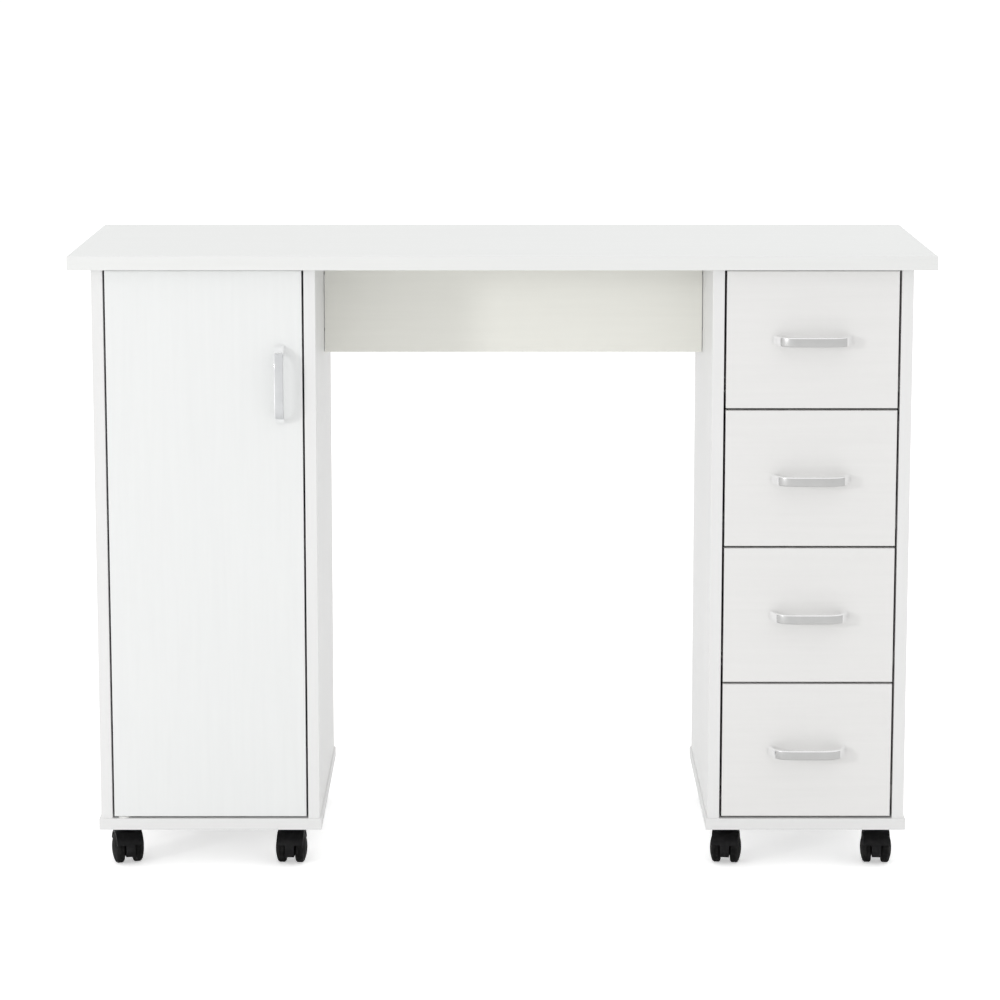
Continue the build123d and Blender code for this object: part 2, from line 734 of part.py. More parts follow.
# ---------------------------------------------------------------- channels in the drawer unit
with BuildPart() as cabinet_runners:
    for number in range(1, drawer_count + 1):
        z = drawer_side_z(number)
        for wall_x, inward in runner_walls():
            web = wall_x + inward * runner_metal
            lip = wall_x + inward * runner_lip
            low, high = z + runner_bottom, z + runner_top
            outline = [
                (wall_x, low),
                (lip, low),
                (lip, low + runner_metal),
                (web, low + runner_metal),
                (web, high - runner_metal),
                (lip, high - runner_metal),
                (lip, high),
                (wall_x, high),
            ]
            channel(outline, runner_y)
            axle = (wall_x, runner_y[0] + roller_inset, z + front_roller_z)
            outward = (inward, 0, 0)
            rods([(axle, outward)], rivet_radius, roller_reach[1])
            rim = shift(axle, outward, roller_reach[0])
            ring(rim, outward, roller_radius, rivet_radius + roller_play, roller_width)
    bores(runner_screws(), small_screw_radius + hole_play, runner_metal)
write(cabinet_runners, "cabinet_runners")


# ---------------------------------------------------------------- the drawers
def drawer_front(low_z, side_z):
    """An inset drawer front with the groove of the bottom and the dowel holes."""
    with BuildPart() as front:
        slab(drawer_front_x, (front_y, panel_back_y), (low_z, low_z + front_height))
        round_edges(front, Axis.Y, 0)
        round_edges(front, Axis.Y, -1)
        cut_bottom_groove(side_z)
        holes = [(place, SOUTH) for place in drawer_dowels(side_z)]
        bores(holes, dowel_radius + hole_play, drawer_dowel_hold + hole_play)
        cut_handle_holes(drawer_handle_face(low_z))
    return front


def drawer_dowels(side_z):
    """Where the dowels of a drawer cross the rear face of its front."""
    inset = drawer_board / 2
    heights = (side_z + drawer_dowel_inset, side_z + drawer_box_height - drawer_dowel_inset)
    return [
        (x, panel_back_y, z)
        for x in (drawer_box_x[0] + inset, drawer_box_x[1] - inset)
        for z in heights
    ]


def cut_bottom_groove(side_z):
    """Cut the groove that the drawer bottom slides into."""
    low = side_z + drawer_bottom_rise - groove_play / 2
    slab(
        (drawer_box_x[0] + drawer_board - groove_depth, drawer_box_x[1] - drawer_board + groove_depth),
        (drawer_box_y[0] - groove_depth, drawer_box_y[1] - drawer_board + groove_depth),
        (low, low + back_sheet + groove_play),
        mode=Mode.SUBTRACT,
    )


def drawer_box(side_z):
    """Two sides and a back as three boards, with the dowels that hold the front."""
    z_span = (side_z, side_z + drawer_box_height)
    boards = [
        ((drawer_box_x[0], drawer_box_x[0] + drawer_board), drawer_box_y),
        ((drawer_box_x[1] - drawer_board, drawer_box_x[1]), drawer_box_y),
        (
            (drawer_box_x[0] + drawer_board + hole_play, drawer_box_x[1] - drawer_board - hole_play),
            (drawer_box_y[1] - drawer_board, drawer_box_y[1]),
        ),
    ]
    with BuildPart() as box:
        for x_span, y_span in boards:
            slab(x_span, y_span, z_span)
        fillet(box.edges().filter_by(Axis.Y).group_by(Axis.Z)[-1], edge_round)
        cut_bottom_groove(side_z)
        holes = [(place, NORTH) for place in drawer_dowels(side_z)]
        bores(holes, dowel_radius + hole_play, dowel_length - drawer_dowel_hold + hole_play)
        pegs = [(shift(place, SOUTH, drawer_dowel_hold), NORTH) for place, _ in holes]
        rods(pegs, dowel_radius, dowel_length)
    return box


def drawer_bottom(side_z):
    """The hardboard bottom, in the grooves of the box and the front."""
    reach = groove_depth - sheet_play
    low = side_z + drawer_bottom_rise
    with BuildPart() as bottom:
        slab(
            (drawer_box_x[0] + drawer_board - reach, drawer_box_x[1] - drawer_board + reach),
            (drawer_box_y[0] - reach, drawer_box_y[1] - drawer_board + reach),
            (low, low + back_sheet),
        )
    return bottom


def drawer_handle_face(low_z):
    """The plane of a drawer handle: the middle of the front."""
    return Plane(
        origin=(drawer_centre_x, front_y, low_z + front_height / 2), x_dir=EAST, z_dir=SOUTH
    )


def drawer_runners(side_z):
    """The angle profiles under the drawer's sides, each with its rear roller."""
    rail_y = (runner_y[0], runner_y[1] - 2 * roller_inset - rail_end_gap)
    with BuildPart() as runners:
        for wall_x, inward in runner_walls():
            outer = wall_x + inward * runner_space
            web = outer - inward * runner_metal
            under = outer + inward * (drawer_board - profile_inset)
            rail = wall_x + inward * roller_reach[0]
            angle_outline = [
                (web, side_z - runner_metal),
                (under, side_z - runner_metal),
                (under, side_z),
                (outer, side_z),
                (outer, side_z + runner_flange_height),
                (web, side_z + runner_flange_height),
            ]
            channel(angle_outline, runner_y)
            rail_z = (side_z + runner_flange_height - runner_metal, side_z + runner_flange_height)
            slab(sorted((rail, outer)), rail_y, rail_z)
            axle = (outer, runner_y[1] - roller_inset, side_z + rear_roller_z)
            outward = (-inward, 0, 0)
            rods([(axle, outward)], rivet_radius, runner_space - roller_reach[0])
            rim = shift(axle, outward, runner_space - roller_reach[1])
            ring(rim, outward, rear_roller_radius, rivet_radius + roller_play, roller_width)
    return runners


for number in range(1, drawer_count + 1):
    low_z = drawer_low_z(number)
    side_z = drawer_side_z(number)
    write(drawer_front(low_z, side_z), f"drawer_{number}_front")
    write(drawer_box(side_z), f"drawer_{number}_box")
    write(drawer_bottom(side_z), f"drawer_{number}_bottom")
    write(bow_handle(drawer_handle_face(low_z)), f"drawer_{number}_handle")
    write(drawer_runners(side_z), f"drawer_{number}_runners")

# ---------------------------------------------------------------- caster plates
with BuildPart() as caster_plates:
    for swivel in caster_planes:
        centre = swivel.origin
        plate_z = caster_height - plate_thickness
        with BuildSketch(Plane(origin=(centre.X, centre.Y, plate_z), z_dir=UP)):
            RectangleRounded(plate_size, plate_size, plate_corner)
        extrude(amount=plate_thickness)
        bores(plate_screws(swivel), small_screw_radius + hole_play, plate_thickness)
        kingpin = [((centre.X, centre.Y, caster_height), DOWN)]
        wide, narrow = kingpin_head_radius + hole_play, kingpin_radius + hole_play
        bores(kingpin, narrow, plate_thickness)
        cones(kingpin, wide, narrow, kingpin_head + hole_play, mode=Mode.SUBTRACT)
        rods(kingpin, kingpin_radius, plate_thickness + kingpin_length)
        cones(kingpin, kingpin_head_radius, kingpin_radius, kingpin_head)
write(caster_plates, "caster_plates")


# ---------------------------------------------------------------- the casters
def axle_plane(swivel):
    """Plane across a caster's axle: X along the trail, Y up, Z along the axle."""
    centre = swivel.from_local_coords((0, caster_trail, wheel_radius))
    return Plane(origin=centre, x_dir=swivel.y_dir, z_dir=swivel.x_dir)


def caster_wheels(swivel):
    """Both wheels of a caster and the axle that they share."""
    across = axle_plane(swivel)
    profile = Plane(origin=across.origin, x_dir=across.z_dir, z_dir=across.x_dir)
    inner = wheel_spacing / 2
    outer = inner + wheel_width
    bore_radius = axle_radius + hole_play
    bore_end = inner + axle_hold
    rim = outer - wheel_dome
    shoulder = wheel_radius - wheel_edge_round
    tread = (inner + wheel_edge_round, rim - wheel_edge_round)
    with BuildPart() as wheels:
        with BuildSketch(profile):
            with BuildLine():
                Polyline(
                    (outer, dimple_radius),
                    (bore_end, dimple_radius),
                    (bore_end, bore_radius),
                    (inner, bore_radius),
                    (inner, shoulder),
                )
                RadiusArc((inner, shoulder), (tread[0], wheel_radius), wheel_edge_round)
                Line((tread[0], wheel_radius), (tread[1], wheel_radius))
                RadiusArc((tread[1], wheel_radius), (rim, shoulder), wheel_edge_round)
                ThreePointArc(
                    (rim, shoulder),
                    (outer - wheel_dome / 4, wheel_radius / 2),
                    (outer, dimple_radius),
                )
            make_face()
        revolve(axis=Axis(across.origin, across.z_dir))
        mirror(about=Plane(origin=across.origin, z_dir=across.z_dir))
        half_axle = inner + axle_hold - seat_clearance
        start = across.from_local_coords((0, 0, -half_axle))
        rods([(start, across.z_dir)], axle_radius, 2 * half_axle)
    return wheels


def caster_hood(swivel):
    """The swivelling body: a web between the wheels, a fender over their rims and a boss."""
    across = axle_plane(swivel)
    well_radius = hood_radius - hood_wall
    half_width = wheel_spacing / 2 + wheel_width - wheel_dome
    with BuildPart() as hood:
        with BuildSketch(across):
            Circle(hood_radius)
            with Locations((0, hood_floor_gap - wheel_radius)):
                Rectangle(
                    2 * hood_radius,
                    hood_radius,
                    align=(Align.CENTER, Align.MAX),
                    mode=Mode.SUBTRACT,
                )
        extrude(amount=hood_web / 2, both=True)
        with BuildSketch(across):
            Circle(hood_radius)
            with Locations((0, hood_rim_rise)):
                Rectangle(
                    2 * hood_radius,
                    hood_radius + hood_rim_rise,
                    align=(Align.CENTER, Align.MAX),
                    mode=Mode.SUBTRACT,
                )
        extrude(amount=half_width, both=True)
        boss_z = wheel_radius + hood_rim_rise
        boss_start = swivel.from_local_coords((0, 0, boss_z))
        rods([(boss_start, UP)], boss_radius, boss_top - boss_z)
        wells = [
            (across.from_local_coords((0, 0, sign * hood_web / 2)), across.z_dir * sign)
            for sign in (-1, 1)
        ]
        bores(wells, well_radius, half_width)
        boss_face = swivel.from_local_coords((0, 0, boss_top))
        kingpin_hole = [(boss_face, Vector(*DOWN))]
        bores(kingpin_hole, kingpin_radius + running_clearance, kingpin_length + seat_clearance)
        axle_hole = [(across.from_local_coords((0, 0, -hood_web / 2)), across.z_dir)]
        bores(axle_hole, axle_radius + running_clearance, hood_web)
    return hood


for number, swivel in enumerate(caster_planes, start=1):
    write(caster_hood(swivel), f"caster_{number}_hood")
    write(caster_wheels(swivel), f"caster_{number}_wheels")
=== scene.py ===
# %% [markdown]
# # A rolling sewing table in white melamine
#
# The table is made of plain boards, so its look rests on small things: the faint grain
# that is printed into white melamine, the greyer edge banding, chrome handles whose
# bright legs and upper edge are partly painted highlight and whose satin grip's grey is
# painted shade, and black nylon casters that have picked up a little dust.
#
# The boards come from the imported CAD model and stay exactly where it puts them. This
# script gives every one of them a finish, and rebuilds the handles, the casters and the
# fasteners as finer meshes. All lengths are metres: X right, Y away from the user, Z up.

import json
import math
from functools import partial

import bmesh
import bpy
import numpy as np
from mathutils import Matrix, Vector


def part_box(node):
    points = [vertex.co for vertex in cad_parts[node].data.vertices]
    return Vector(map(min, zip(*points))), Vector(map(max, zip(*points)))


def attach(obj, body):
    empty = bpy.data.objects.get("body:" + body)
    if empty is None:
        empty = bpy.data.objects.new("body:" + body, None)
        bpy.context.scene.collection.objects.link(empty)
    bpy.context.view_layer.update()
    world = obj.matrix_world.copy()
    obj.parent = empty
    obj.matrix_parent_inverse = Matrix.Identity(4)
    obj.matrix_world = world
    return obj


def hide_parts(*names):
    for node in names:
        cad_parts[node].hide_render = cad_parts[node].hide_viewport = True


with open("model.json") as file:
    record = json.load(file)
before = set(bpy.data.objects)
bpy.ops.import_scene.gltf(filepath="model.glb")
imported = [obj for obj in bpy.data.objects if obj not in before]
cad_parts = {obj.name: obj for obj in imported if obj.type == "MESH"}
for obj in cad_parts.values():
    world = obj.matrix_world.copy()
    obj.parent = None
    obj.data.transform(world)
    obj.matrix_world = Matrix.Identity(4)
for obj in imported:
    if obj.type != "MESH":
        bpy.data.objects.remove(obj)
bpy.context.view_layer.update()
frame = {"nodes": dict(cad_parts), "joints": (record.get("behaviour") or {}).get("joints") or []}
nodes = frame["nodes"]
joints = {joint["name"]: joint for joint in frame["joints"]}

# %% [markdown]
# ## Measuring the frame
#
# Every place below is read from a CAD node, so that a handle sits on its own drawer
# front and a wheel on its own axle, whatever size the table has.

# %% Measure the frame
DRAWERS = [f"drawer_{number}" for number in range(1, 5)]
CASTERS = [f"caster_{number}" for number in range(1, 9)]
SAME_POINT = 1e-6   # points closer than this are one point


def islands(node):
    """The separate solids of one CAD node, each as an array of its points."""
    mesh = bmesh.new()
    mesh.from_mesh(nodes[node].data)
    bmesh.ops.remove_doubles(mesh, verts=mesh.verts, dist=SAME_POINT)
    left, found = set(mesh.verts), []
    while left:
        stack, group = [left.pop()], []
        while stack:
            vert = stack.pop()
            group.append(vert.co.copy())
            for edge in vert.link_edges:
                other = edge.other_vert(vert)
                if other in left:
                    left.remove(other)
                    stack.append(other)
        found.append(np.array(group))
    mesh.free()
    return sorted(found, key=lambda points: tuple(points.min(0).round(4)))


def span(points):
    """Lowest and highest corner of some points."""
    return Vector(points.min(0)), Vector(points.max(0))


table_low, table_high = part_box("table_top")
front_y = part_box("door_panel")[0].y
print("top", [round(v, 3) for v in table_high - table_low], "fronts at", round(front_y, 4))

# %% [markdown]
# ## Small helpers for node trees
#
# A shader or a geometry tree is a list of nodes and the links between them. A few short
# helpers keep that list readable: one adds a node and feeds its sockets with values or
# links, and the others wrap the kinds of node that come up most.


# %% Node helpers
def add_node(tree, kind, inputs=None, **settings):
    """Add a node, set its properties, then set or link its inputs by name or number."""
    node = tree.nodes.new(kind)
    for name, value in settings.items():
        setattr(node, name, value)
    for name, value in (inputs or {}).items():
        socket = node.inputs[name]
        if isinstance(value, bpy.types.NodeSocket):
            tree.links.new(value, socket)
        else:
            socket.default_value = value
    return node


def add_step(tree, kind, inputs=None, **settings):
    """Add a node and return its first output, ready to feed the next one."""
    return add_node(tree, kind, inputs, **settings).outputs[0]


def math_node(tree, operation, first, second=0.0, third=0.0):
    """One Math node; each value is a number or a socket."""
    values = {0: first, 1: second, 2: third}
    return add_step(tree, "ShaderNodeMath", values, operation=operation)


def noise(tree, vector, scale, detail, **more):
    """One Noise texture's value."""
    values = {"Vector": vector, "Scale": scale, "Detail": detail, **more}
    return add_node(tree, "ShaderNodeTexNoise", values).outputs["Fac"]


def ramp(tree, value, low, high):
    """0 at low, 1 at high, straight in between; low may be the larger one."""
    values = {"Value": value, "From Min": low, "From Max": high}
    return add_node(tree, "ShaderNodeMapRange", values).outputs["Result"]


def object_place(tree, stretch=None):
    """Where a point lies on its object, scaled along each axis if a stretch is given."""
    place = add_node(tree, "ShaderNodeTexCoord").outputs["Object"]
    if stretch is None:
        return place
    return add_step(tree, "ShaderNodeMapping", {"Vector": place, "Scale": stretch})


def new_group(name, inputs, outputs, kind="ShaderNodeTree"):
    """A node group with named sockets: {name: (type, default)} in, {name: type} out."""
    tree = bpy.data.node_groups.new(name, kind)
    for label, (socket_type, default) in inputs.items():
        socket = tree.interface.new_socket(label, in_out="INPUT", socket_type=socket_type)
        if default is not None:
            socket.default_value = default
    for label, socket_type in outputs.items():
        tree.interface.new_socket(label, in_out="OUTPUT", socket_type=socket_type)
    start = tree.nodes.new("NodeGroupInput")
    end = tree.nodes.new("NodeGroupOutput")
    return tree, start.outputs, end.inputs


print("helpers: add_node, add_step, math_node, noise, ramp, object_place, new_group")

# %% [markdown]
# ## Shared effects
#
# White melamine is a printed paper under a hard clear resin. From a step away it is
# white, but the print has faint streaks along the board, the resin has a fine pearl
# texture, and large areas are never quite even. Noise stretched along the board makes
# the streaks, and two plain noises make the rest. All of it varies around 1, so each
# material multiplies its own white by it.


# %% Group: melamine print
FLOAT, VECTOR = "NodeSocketFloat", "NodeSocketVector"

melamine, given, made = new_group(
    "melamine_print",
    {
        "Stretch": (VECTOR, (3.0, 60.0, 60.0)),
        "Streaks": (FLOAT, 0.02),
        "Clouds": (FLOAT, 0.02),
    },
    {"Tone": FLOAT, "Gloss": FLOAT, "Relief": FLOAT},
)
melamine_math = partial(math_node, melamine)
place = object_place(melamine)
along = object_place(melamine, given["Stretch"])
grain = noise(melamine, along, 2.4, 8.0, Roughness=0.62, Distortion=0.4)
clouds = noise(melamine, place, 3.1, 3.0)
pearl = noise(melamine, place, 900.0, 2.0)
streak = melamine_math("MULTIPLY", melamine_math("SUBTRACT", grain, 0.5), given["Streaks"])
cloud = melamine_math("MULTIPLY", melamine_math("SUBTRACT", clouds, 0.5), given["Clouds"])
tone = melamine_math("ADD", melamine_math("ADD", 1.0, streak), cloud)
melamine.links.new(tone, made["Tone"])
melamine.links.new(melamine_math("MULTIPLY_ADD", grain, 0.12, 0.94), made["Gloss"])
melamine.links.new(melamine_math("MULTIPLY_ADD", grain, 0.35, pearl), made["Relief"])
print("group", melamine.name, len(melamine.nodes), "nodes")

# %% [markdown]
# A cut board is closed with a strip of plastic edge banding, a touch greyer than the
# face. The group below finds the banded edges: the faces that look along the board
# instead of along its thickness.

# %% Group: edge banding
banding, given, made = new_group(
    "edge_banding", {"Thickness Axis": (VECTOR, (0.0, 0.0, 1.0))}, {"Edge": FLOAT}
)
normal = add_node(banding, "ShaderNodeNewGeometry").outputs["Normal"]
facing = add_node(
    banding, "ShaderNodeVectorMath", {0: normal, 1: given["Thickness Axis"]},
    operation="DOT_PRODUCT",
).outputs["Value"]
flat_share = math_node(banding, "ABSOLUTE", facing)
banding.links.new(ramp(banding, flat_share, 0.95, 0.35), made["Edge"])
print("group", banding.name, len(banding.nodes), "nodes")

# %% [markdown]
# Dust shows most on black plastic near the floor. The group makes small soft patches
# and lets them grow stronger towards the floor.

# %% Group: floor dust
dust, given, made = new_group(
    "floor_dust", {"Reach": (FLOAT, 0.05), "Amount": (FLOAT, 0.3)}, {"Mask": FLOAT}
)
place = object_place(dust)
height = add_node(dust, "ShaderNodeSeparateXYZ", {0: place}).outputs["Z"]
low = ramp(dust, height, given["Reach"], 0.0)
patch = ramp(dust, noise(dust, place, 160.0, 5.0, Roughness=0.7), 0.45, 0.75)
share = math_node(dust, "MULTIPLY_ADD", low, 0.7, 0.3)
mask = math_node(dust, "MULTIPLY", math_node(dust, "MULTIPLY", patch, share), given["Amount"])
dust.links.new(mask, made["Mask"])
print("group", dust.name, len(dust.nodes), "nodes")

# %% [markdown]
# Brushed metal carries fine lines in one direction, which is noise stretched along
# them. The same group serves the grips, the zinc-plated hardware, the hardboard's
# fibres and the beech's grain, with other stretches.

# %% Group: fine lines
lines, given, made = new_group(
    "fine_lines",
    {"Stretch": (VECTOR, (20.0, 600.0, 600.0))},
    {"Lines": FLOAT, "Patches": FLOAT},
)
fine = noise(lines, object_place(lines, given["Stretch"]), 3.0, 5.0)
broad = noise(lines, object_place(lines), 70.0, 4.0)
lines.links.new(fine, made["Lines"])
lines.links.new(broad, made["Patches"])
print("group", lines.name, len(lines.nodes), "nodes")

# %% [markdown]
# ## Finishes
#
# Each finish is its own material. The shader stays in the material, the groups only
# feed it colours, roughness and relief.


# %% Material helpers
def new_material(name):
    """An empty node material with a Principled shader; returns (material, tree, shader)."""
    material = bpy.data.materials.new(name)
    material.use_nodes = True
    tree = material.node_tree
    return material, tree, tree.nodes["Principled BSDF"]


def use_group(tree, group, **values):
    """Place a shared effect in a material with this material's own values."""
    node = tree.nodes.new("ShaderNodeGroup")
    node.node_tree = group
    for name, value in values.items():
        node.inputs[name.replace("_", " ")].default_value = value
    return node.outputs


def blend_colour(tree, factor, first, second):
    """Mix two colours by a mask."""
    node = add_node(tree, "ShaderNodeMix", {0: factor}, data_type="RGBA")
    for socket, value in ((node.inputs[6], first), (node.inputs[7], second)):
        if isinstance(value, bpy.types.NodeSocket):
            tree.links.new(value, socket)
        else:
            socket.default_value = (*value, 1.0)
    return node.outputs[2]


def scale_colour(tree, colour, tone):
    """A colour made lighter or darker by a tone near 1."""
    return add_step(tree, "ShaderNodeVectorMath", {0: colour, "Scale": tone}, operation="SCALE")


def finish_surface(tree, shader, colour, rough, height, strength, distance):
    """Feed the shader its colour, its roughness and a relief of a given distance."""
    relief = {"Height": height, "Strength": strength, "Distance": distance}
    tree.links.new(colour, shader.inputs["Base Color"])
    tree.links.new(rough, shader.inputs["Roughness"])
    tree.links.new(add_step(tree, "ShaderNodeBump", relief), shader.inputs["Normal"])


print("helpers: new_material, use_group, blend_colour, scale_colour, finish_surface")

# %% [markdown]
# The melamine is one recipe with a few values: the white itself, the direction of the
# print, and which way the board's thickness lies. The edge banding is 1.5 percent
# greyer than the face unless a board says otherwise.


# %% Melamine recipe
STREAKS, CLOUDS = 0.06, 0.025
BANDING_TONE = 0.985


def melamine_finish(name, white, stretch, thickness_axis, edge_white=None, roughness=0.38):
    """White melamine board with faint print, pearl texture and greyer edge banding."""
    material, tree, shader = new_material(name)
    print_out = use_group(tree, melamine, Stretch=stretch, Streaks=STREAKS, Clouds=CLOUDS)
    edge_out = use_group(tree, banding, Thickness_Axis=thickness_axis)
    edge_white = edge_white or tuple(value * BANDING_TONE for value in white)
    base = blend_colour(tree, edge_out["Edge"], white, edge_white)
    colour = scale_colour(tree, base, print_out["Tone"])
    rough = math_node(tree, "MULTIPLY", print_out["Gloss"], roughness)
    shader.inputs["Specular IOR Level"].default_value = 0.42
    finish_surface(tree, shader, colour, rough, print_out["Relief"], 0.12, 0.00012)
    return material


print("melamine streaks", STREAKS, "clouds", CLOUDS)

# %% [markdown]
# The boards' whites differ a little from one another: the drawer fronts are warmer and a
# touch darker than the door, the base a touch darker still, and the modesty panel is
# off-white. The top's white is lowered as painted shade: it faces the overhead softbox
# and would otherwise read brighter than the fronts. The print runs along the longest
# side of most boards. A direction's small number stretches it.

# %% Melamine boards
ALONG_X, ALONG_Y, ALONG_Z = (2.5, 55.0, 55.0), (55.0, 2.5, 55.0), (55.0, 55.0, 2.5)
FLAT, FACING, SIDE = (0.0, 0.0, 1.0), (0.0, 1.0, 0.0), (1.0, 0.0, 0.0)

finishes = {
    # the top's white is lowered as painted shade, as it faces the overhead softbox
    "top": melamine_finish(
        "top_melamine", (0.79, 0.80, 0.79), ALONG_X, FLAT, edge_white=(0.785, 0.79, 0.78)
    ),
    "door": melamine_finish("door_melamine", (0.80, 0.81, 0.805), ALONG_Z, FACING),
    "drawer": melamine_finish("drawer_melamine", (0.785, 0.78, 0.77), ALONG_X, FACING),
    "panel": melamine_finish("panel_melamine", (0.86, 0.855, 0.80), ALONG_X, FACING),
    "side": melamine_finish("side_melamine", (0.80, 0.80, 0.795), ALONG_Z, SIDE),
    "base": melamine_finish("base_melamine", (0.78, 0.78, 0.775), ALONG_X, FLAT),
    "box": melamine_finish(
        "drawer_box_melamine", (0.79, 0.79, 0.78), ALONG_Y, SIDE, roughness=0.45
    ),
}
print("melamine finishes", sorted(finishes))

# %% [markdown]
# Hardboard is pressed wood fibre with a thin white coat on its show side. It is duller
# than melamine, and the fibres mottle it: broad patches blend two close whites, and
# fine lines roughen it.


# %% Hardboard
def hardboard_finish():
    """White-coated hardboard, mottled by its fibres."""
    material, tree, shader = new_material("white_hardboard")
    fibre = use_group(tree, lines, Stretch=(90.0, 90.0, 30.0))
    dull, bright = (0.735, 0.725, 0.69), (0.775, 0.77, 0.74)
    colour = blend_colour(tree, ramp(tree, fibre["Patches"], 0.3, 0.7), dull, bright)
    rough = math_node(tree, "MULTIPLY_ADD", fibre["Lines"], 0.15, 0.55)
    finish_surface(tree, shader, colour, rough, fibre["Lines"], 0.25, 0.0003)
    return material


finishes["hardboard"] = hardboard_finish()
print("hardboard finish", finishes["hardboard"].name)

# %% [markdown]
# The handles are cast zinc under chrome. Their legs and the upper edge of the grip get a
# bright, glossy chrome that mirrors the white room: on the legs partly a real polish and
# partly painted highlight, on the upper edge painted highlight alone, given because that
# edge looks up into the light. The rest of the grip is satin, with lines along it, and
# its soft grey is painted shade, a darker reflection painted into the colour. The lines
# of the upright handle on the door run up and down, so it has a satin of its own, in a
# lighter grey: painted shade, lightened as painted light.


# %% Metals
def metal_finish(name, colour, stretch, smooth, rough, relief_strength):
    """A metal whose fine lines and patches vary its gloss."""
    material, tree, shader = new_material(name)
    out = use_group(tree, lines, Stretch=stretch)
    tone = math_node(tree, "MULTIPLY_ADD", out["Patches"], 0.14, 0.93)
    toned = scale_colour(tree, colour, tone)
    spread = math_node(tree, "MULTIPLY_ADD", out["Lines"], rough - smooth, smooth)
    shader.inputs["Metallic"].default_value = 1.0
    finish_surface(tree, shader, toned, spread, out["Lines"], relief_strength, 0.00005)
    return material


# bright chrome for the legs and upper edge: partly polish, partly painted highlight
finishes["chrome"] = metal_finish(
    "polished_chrome_painted_highlight", (0.97, 0.97, 0.975), (40.0, 40.0, 40.0), 0.04, 0.12, 0.03
)
# satin for the drawer grips: its grey is painted shade
finishes["satin_wide_painted_shade"] = metal_finish(
    "satin_chrome_wide_painted_shade", (0.57, 0.57, 0.565), (12.0, 700.0, 700.0), 0.24, 0.40, 0.12
)
# satin for the door grip: grey painted shade, lighter than the drawers' as painted light
finishes["satin_tall_painted_shade_and_light"] = metal_finish(
    "satin_chrome_tall_painted_shade_and_light", (0.68, 0.69, 0.70), (700.0, 700.0, 12.0), 0.24, 0.40, 0.12
)
finishes["zinc"] = metal_finish(
    "zinc_plate", (0.62, 0.64, 0.67), (120.0, 120.0, 120.0), 0.25, 0.5, 0.2
)
print("metals", [finishes[key].name for key in ("chrome", "satin_wide_painted_shade", "satin_tall_painted_shade_and_light", "zinc")])

# %% [markdown]
# Drawer channels are rolled steel under a white epoxy coat, bushes and the catch are
# white plastic, and the casters are black nylon. The wheels' outer faces get a lighter,
# glossier copy of that nylon, whose grey is painted light. All of them have a fine orange
# peel instead of a grain, so they share one recipe, and the casters add some floor dust.


# %% Coated metal and plastics
def coated_finish(name, colour, roughness, relief_scale, dusty=0.0, specular=0.5):
    """A moulded or sprayed surface with fine orange peel and a little dust."""
    material, tree, shader = new_material(name)
    peel = noise(tree, object_place(tree), relief_scale, 3.0)
    tone = math_node(tree, "MULTIPLY_ADD", peel, 0.12, 0.94)
    base = scale_colour(tree, colour, tone)
    rough = math_node(tree, "MULTIPLY_ADD", peel, 0.18, roughness - 0.09)
    if dusty:
        mask = use_group(tree, dust, Reach=0.05, Amount=dusty)["Mask"]
        base = blend_colour(tree, mask, base, (0.30, 0.29, 0.28))
        rough = math_node(tree, "MULTIPLY_ADD", mask, 0.4, rough)
    shader.inputs["Specular IOR Level"].default_value = specular
    finish_surface(tree, shader, base, rough, peel, 0.15, 0.0001)
    return material


finishes["epoxy"] = coated_finish("white_epoxy", (0.76, 0.76, 0.74), 0.35, 500.0)
finishes["white_plastic"] = coated_finish("white_plastic", (0.75, 0.75, 0.73), 0.4, 350.0)
finishes["hood"] = coated_finish(
    "black_nylon", (0.004, 0.004, 0.0045), 0.42, 420.0, dusty=0.05, specular=0.16
)
finishes["tread"] = coated_finish(
    "black_tread", (0.005, 0.005, 0.005), 0.60, 300.0, dusty=0.08, specular=0.12
)
# the wheels' outer faces: black nylon lightened to grey as painted light
finishes["wheel_face_painted_light"] = coated_finish(
    "wheel_face_painted_light", (0.055, 0.055, 0.057), 0.36, 380.0, dusty=0.06, specular=0.45
)
print("black plastics", [finishes[key].name for key in ("hood", "tread", "wheel_face_painted_light")])

# %% [markdown]
# The dowels in the drawer boxes are plain beech: two browns blended by fine lines along
# the grain.


# %% Beech
def beech_finish():
    """Bare beech with its grain upwards."""
    material, tree, shader = new_material("beech")
    out = use_group(tree, lines, Stretch=(260.0, 260.0, 26.0))
    colour = blend_colour(tree, out["Lines"], (0.46, 0.29, 0.16), (0.68, 0.49, 0.31))
    rough = math_node(tree, "MULTIPLY_ADD", out["Lines"], 0.1, 0.5)
    finish_surface(tree, shader, colour, rough, out["Lines"], 0.2, 0.0002)
    return material


finishes["beech"] = beech_finish()
print("finishes in all", len(finishes))

# %% [markdown]
# ## Give every CAD node its finish
#
# The boards keep their CAD meshes. A rule on each node's name picks the finish: first
# the whole name, then its ending. Whatever has neither is zinc-plated steel.

# %% Finish the CAD nodes
FINISH_OF_NAME = {
    "table_top": "top", "door_panel": "door", "modesty_panel": "panel",
    "cabinet_back": "hardboard", "drawer_unit_back": "hardboard", "cabinet_shelf": "base",
    "dowels": "beech", "pivot_bushes": "white_plastic", "magnetic_catch": "white_plastic",
}
FINISH_OF_ENDING = {
    "_front": "drawer", "_side": "side", "_base": "base", "_box": "box",
    "_bottom": "hardboard", "_handle": "satin_wide_painted_shade", "runners": "epoxy",
    "_hood": "hood", "_wheels": "tread",
}


def finish_of(node):
    """The finish that a CAD node's name calls for."""
    by_ending = (look for ending, look in FINISH_OF_ENDING.items() if node.endswith(ending))
    return FINISH_OF_NAME.get(node) or next(by_ending, "zinc")


for name, node in nodes.items():
    node.data.materials.clear()
    node.data.materials.append(finishes[finish_of(name)])
print("CAD nodes finished", len(nodes))

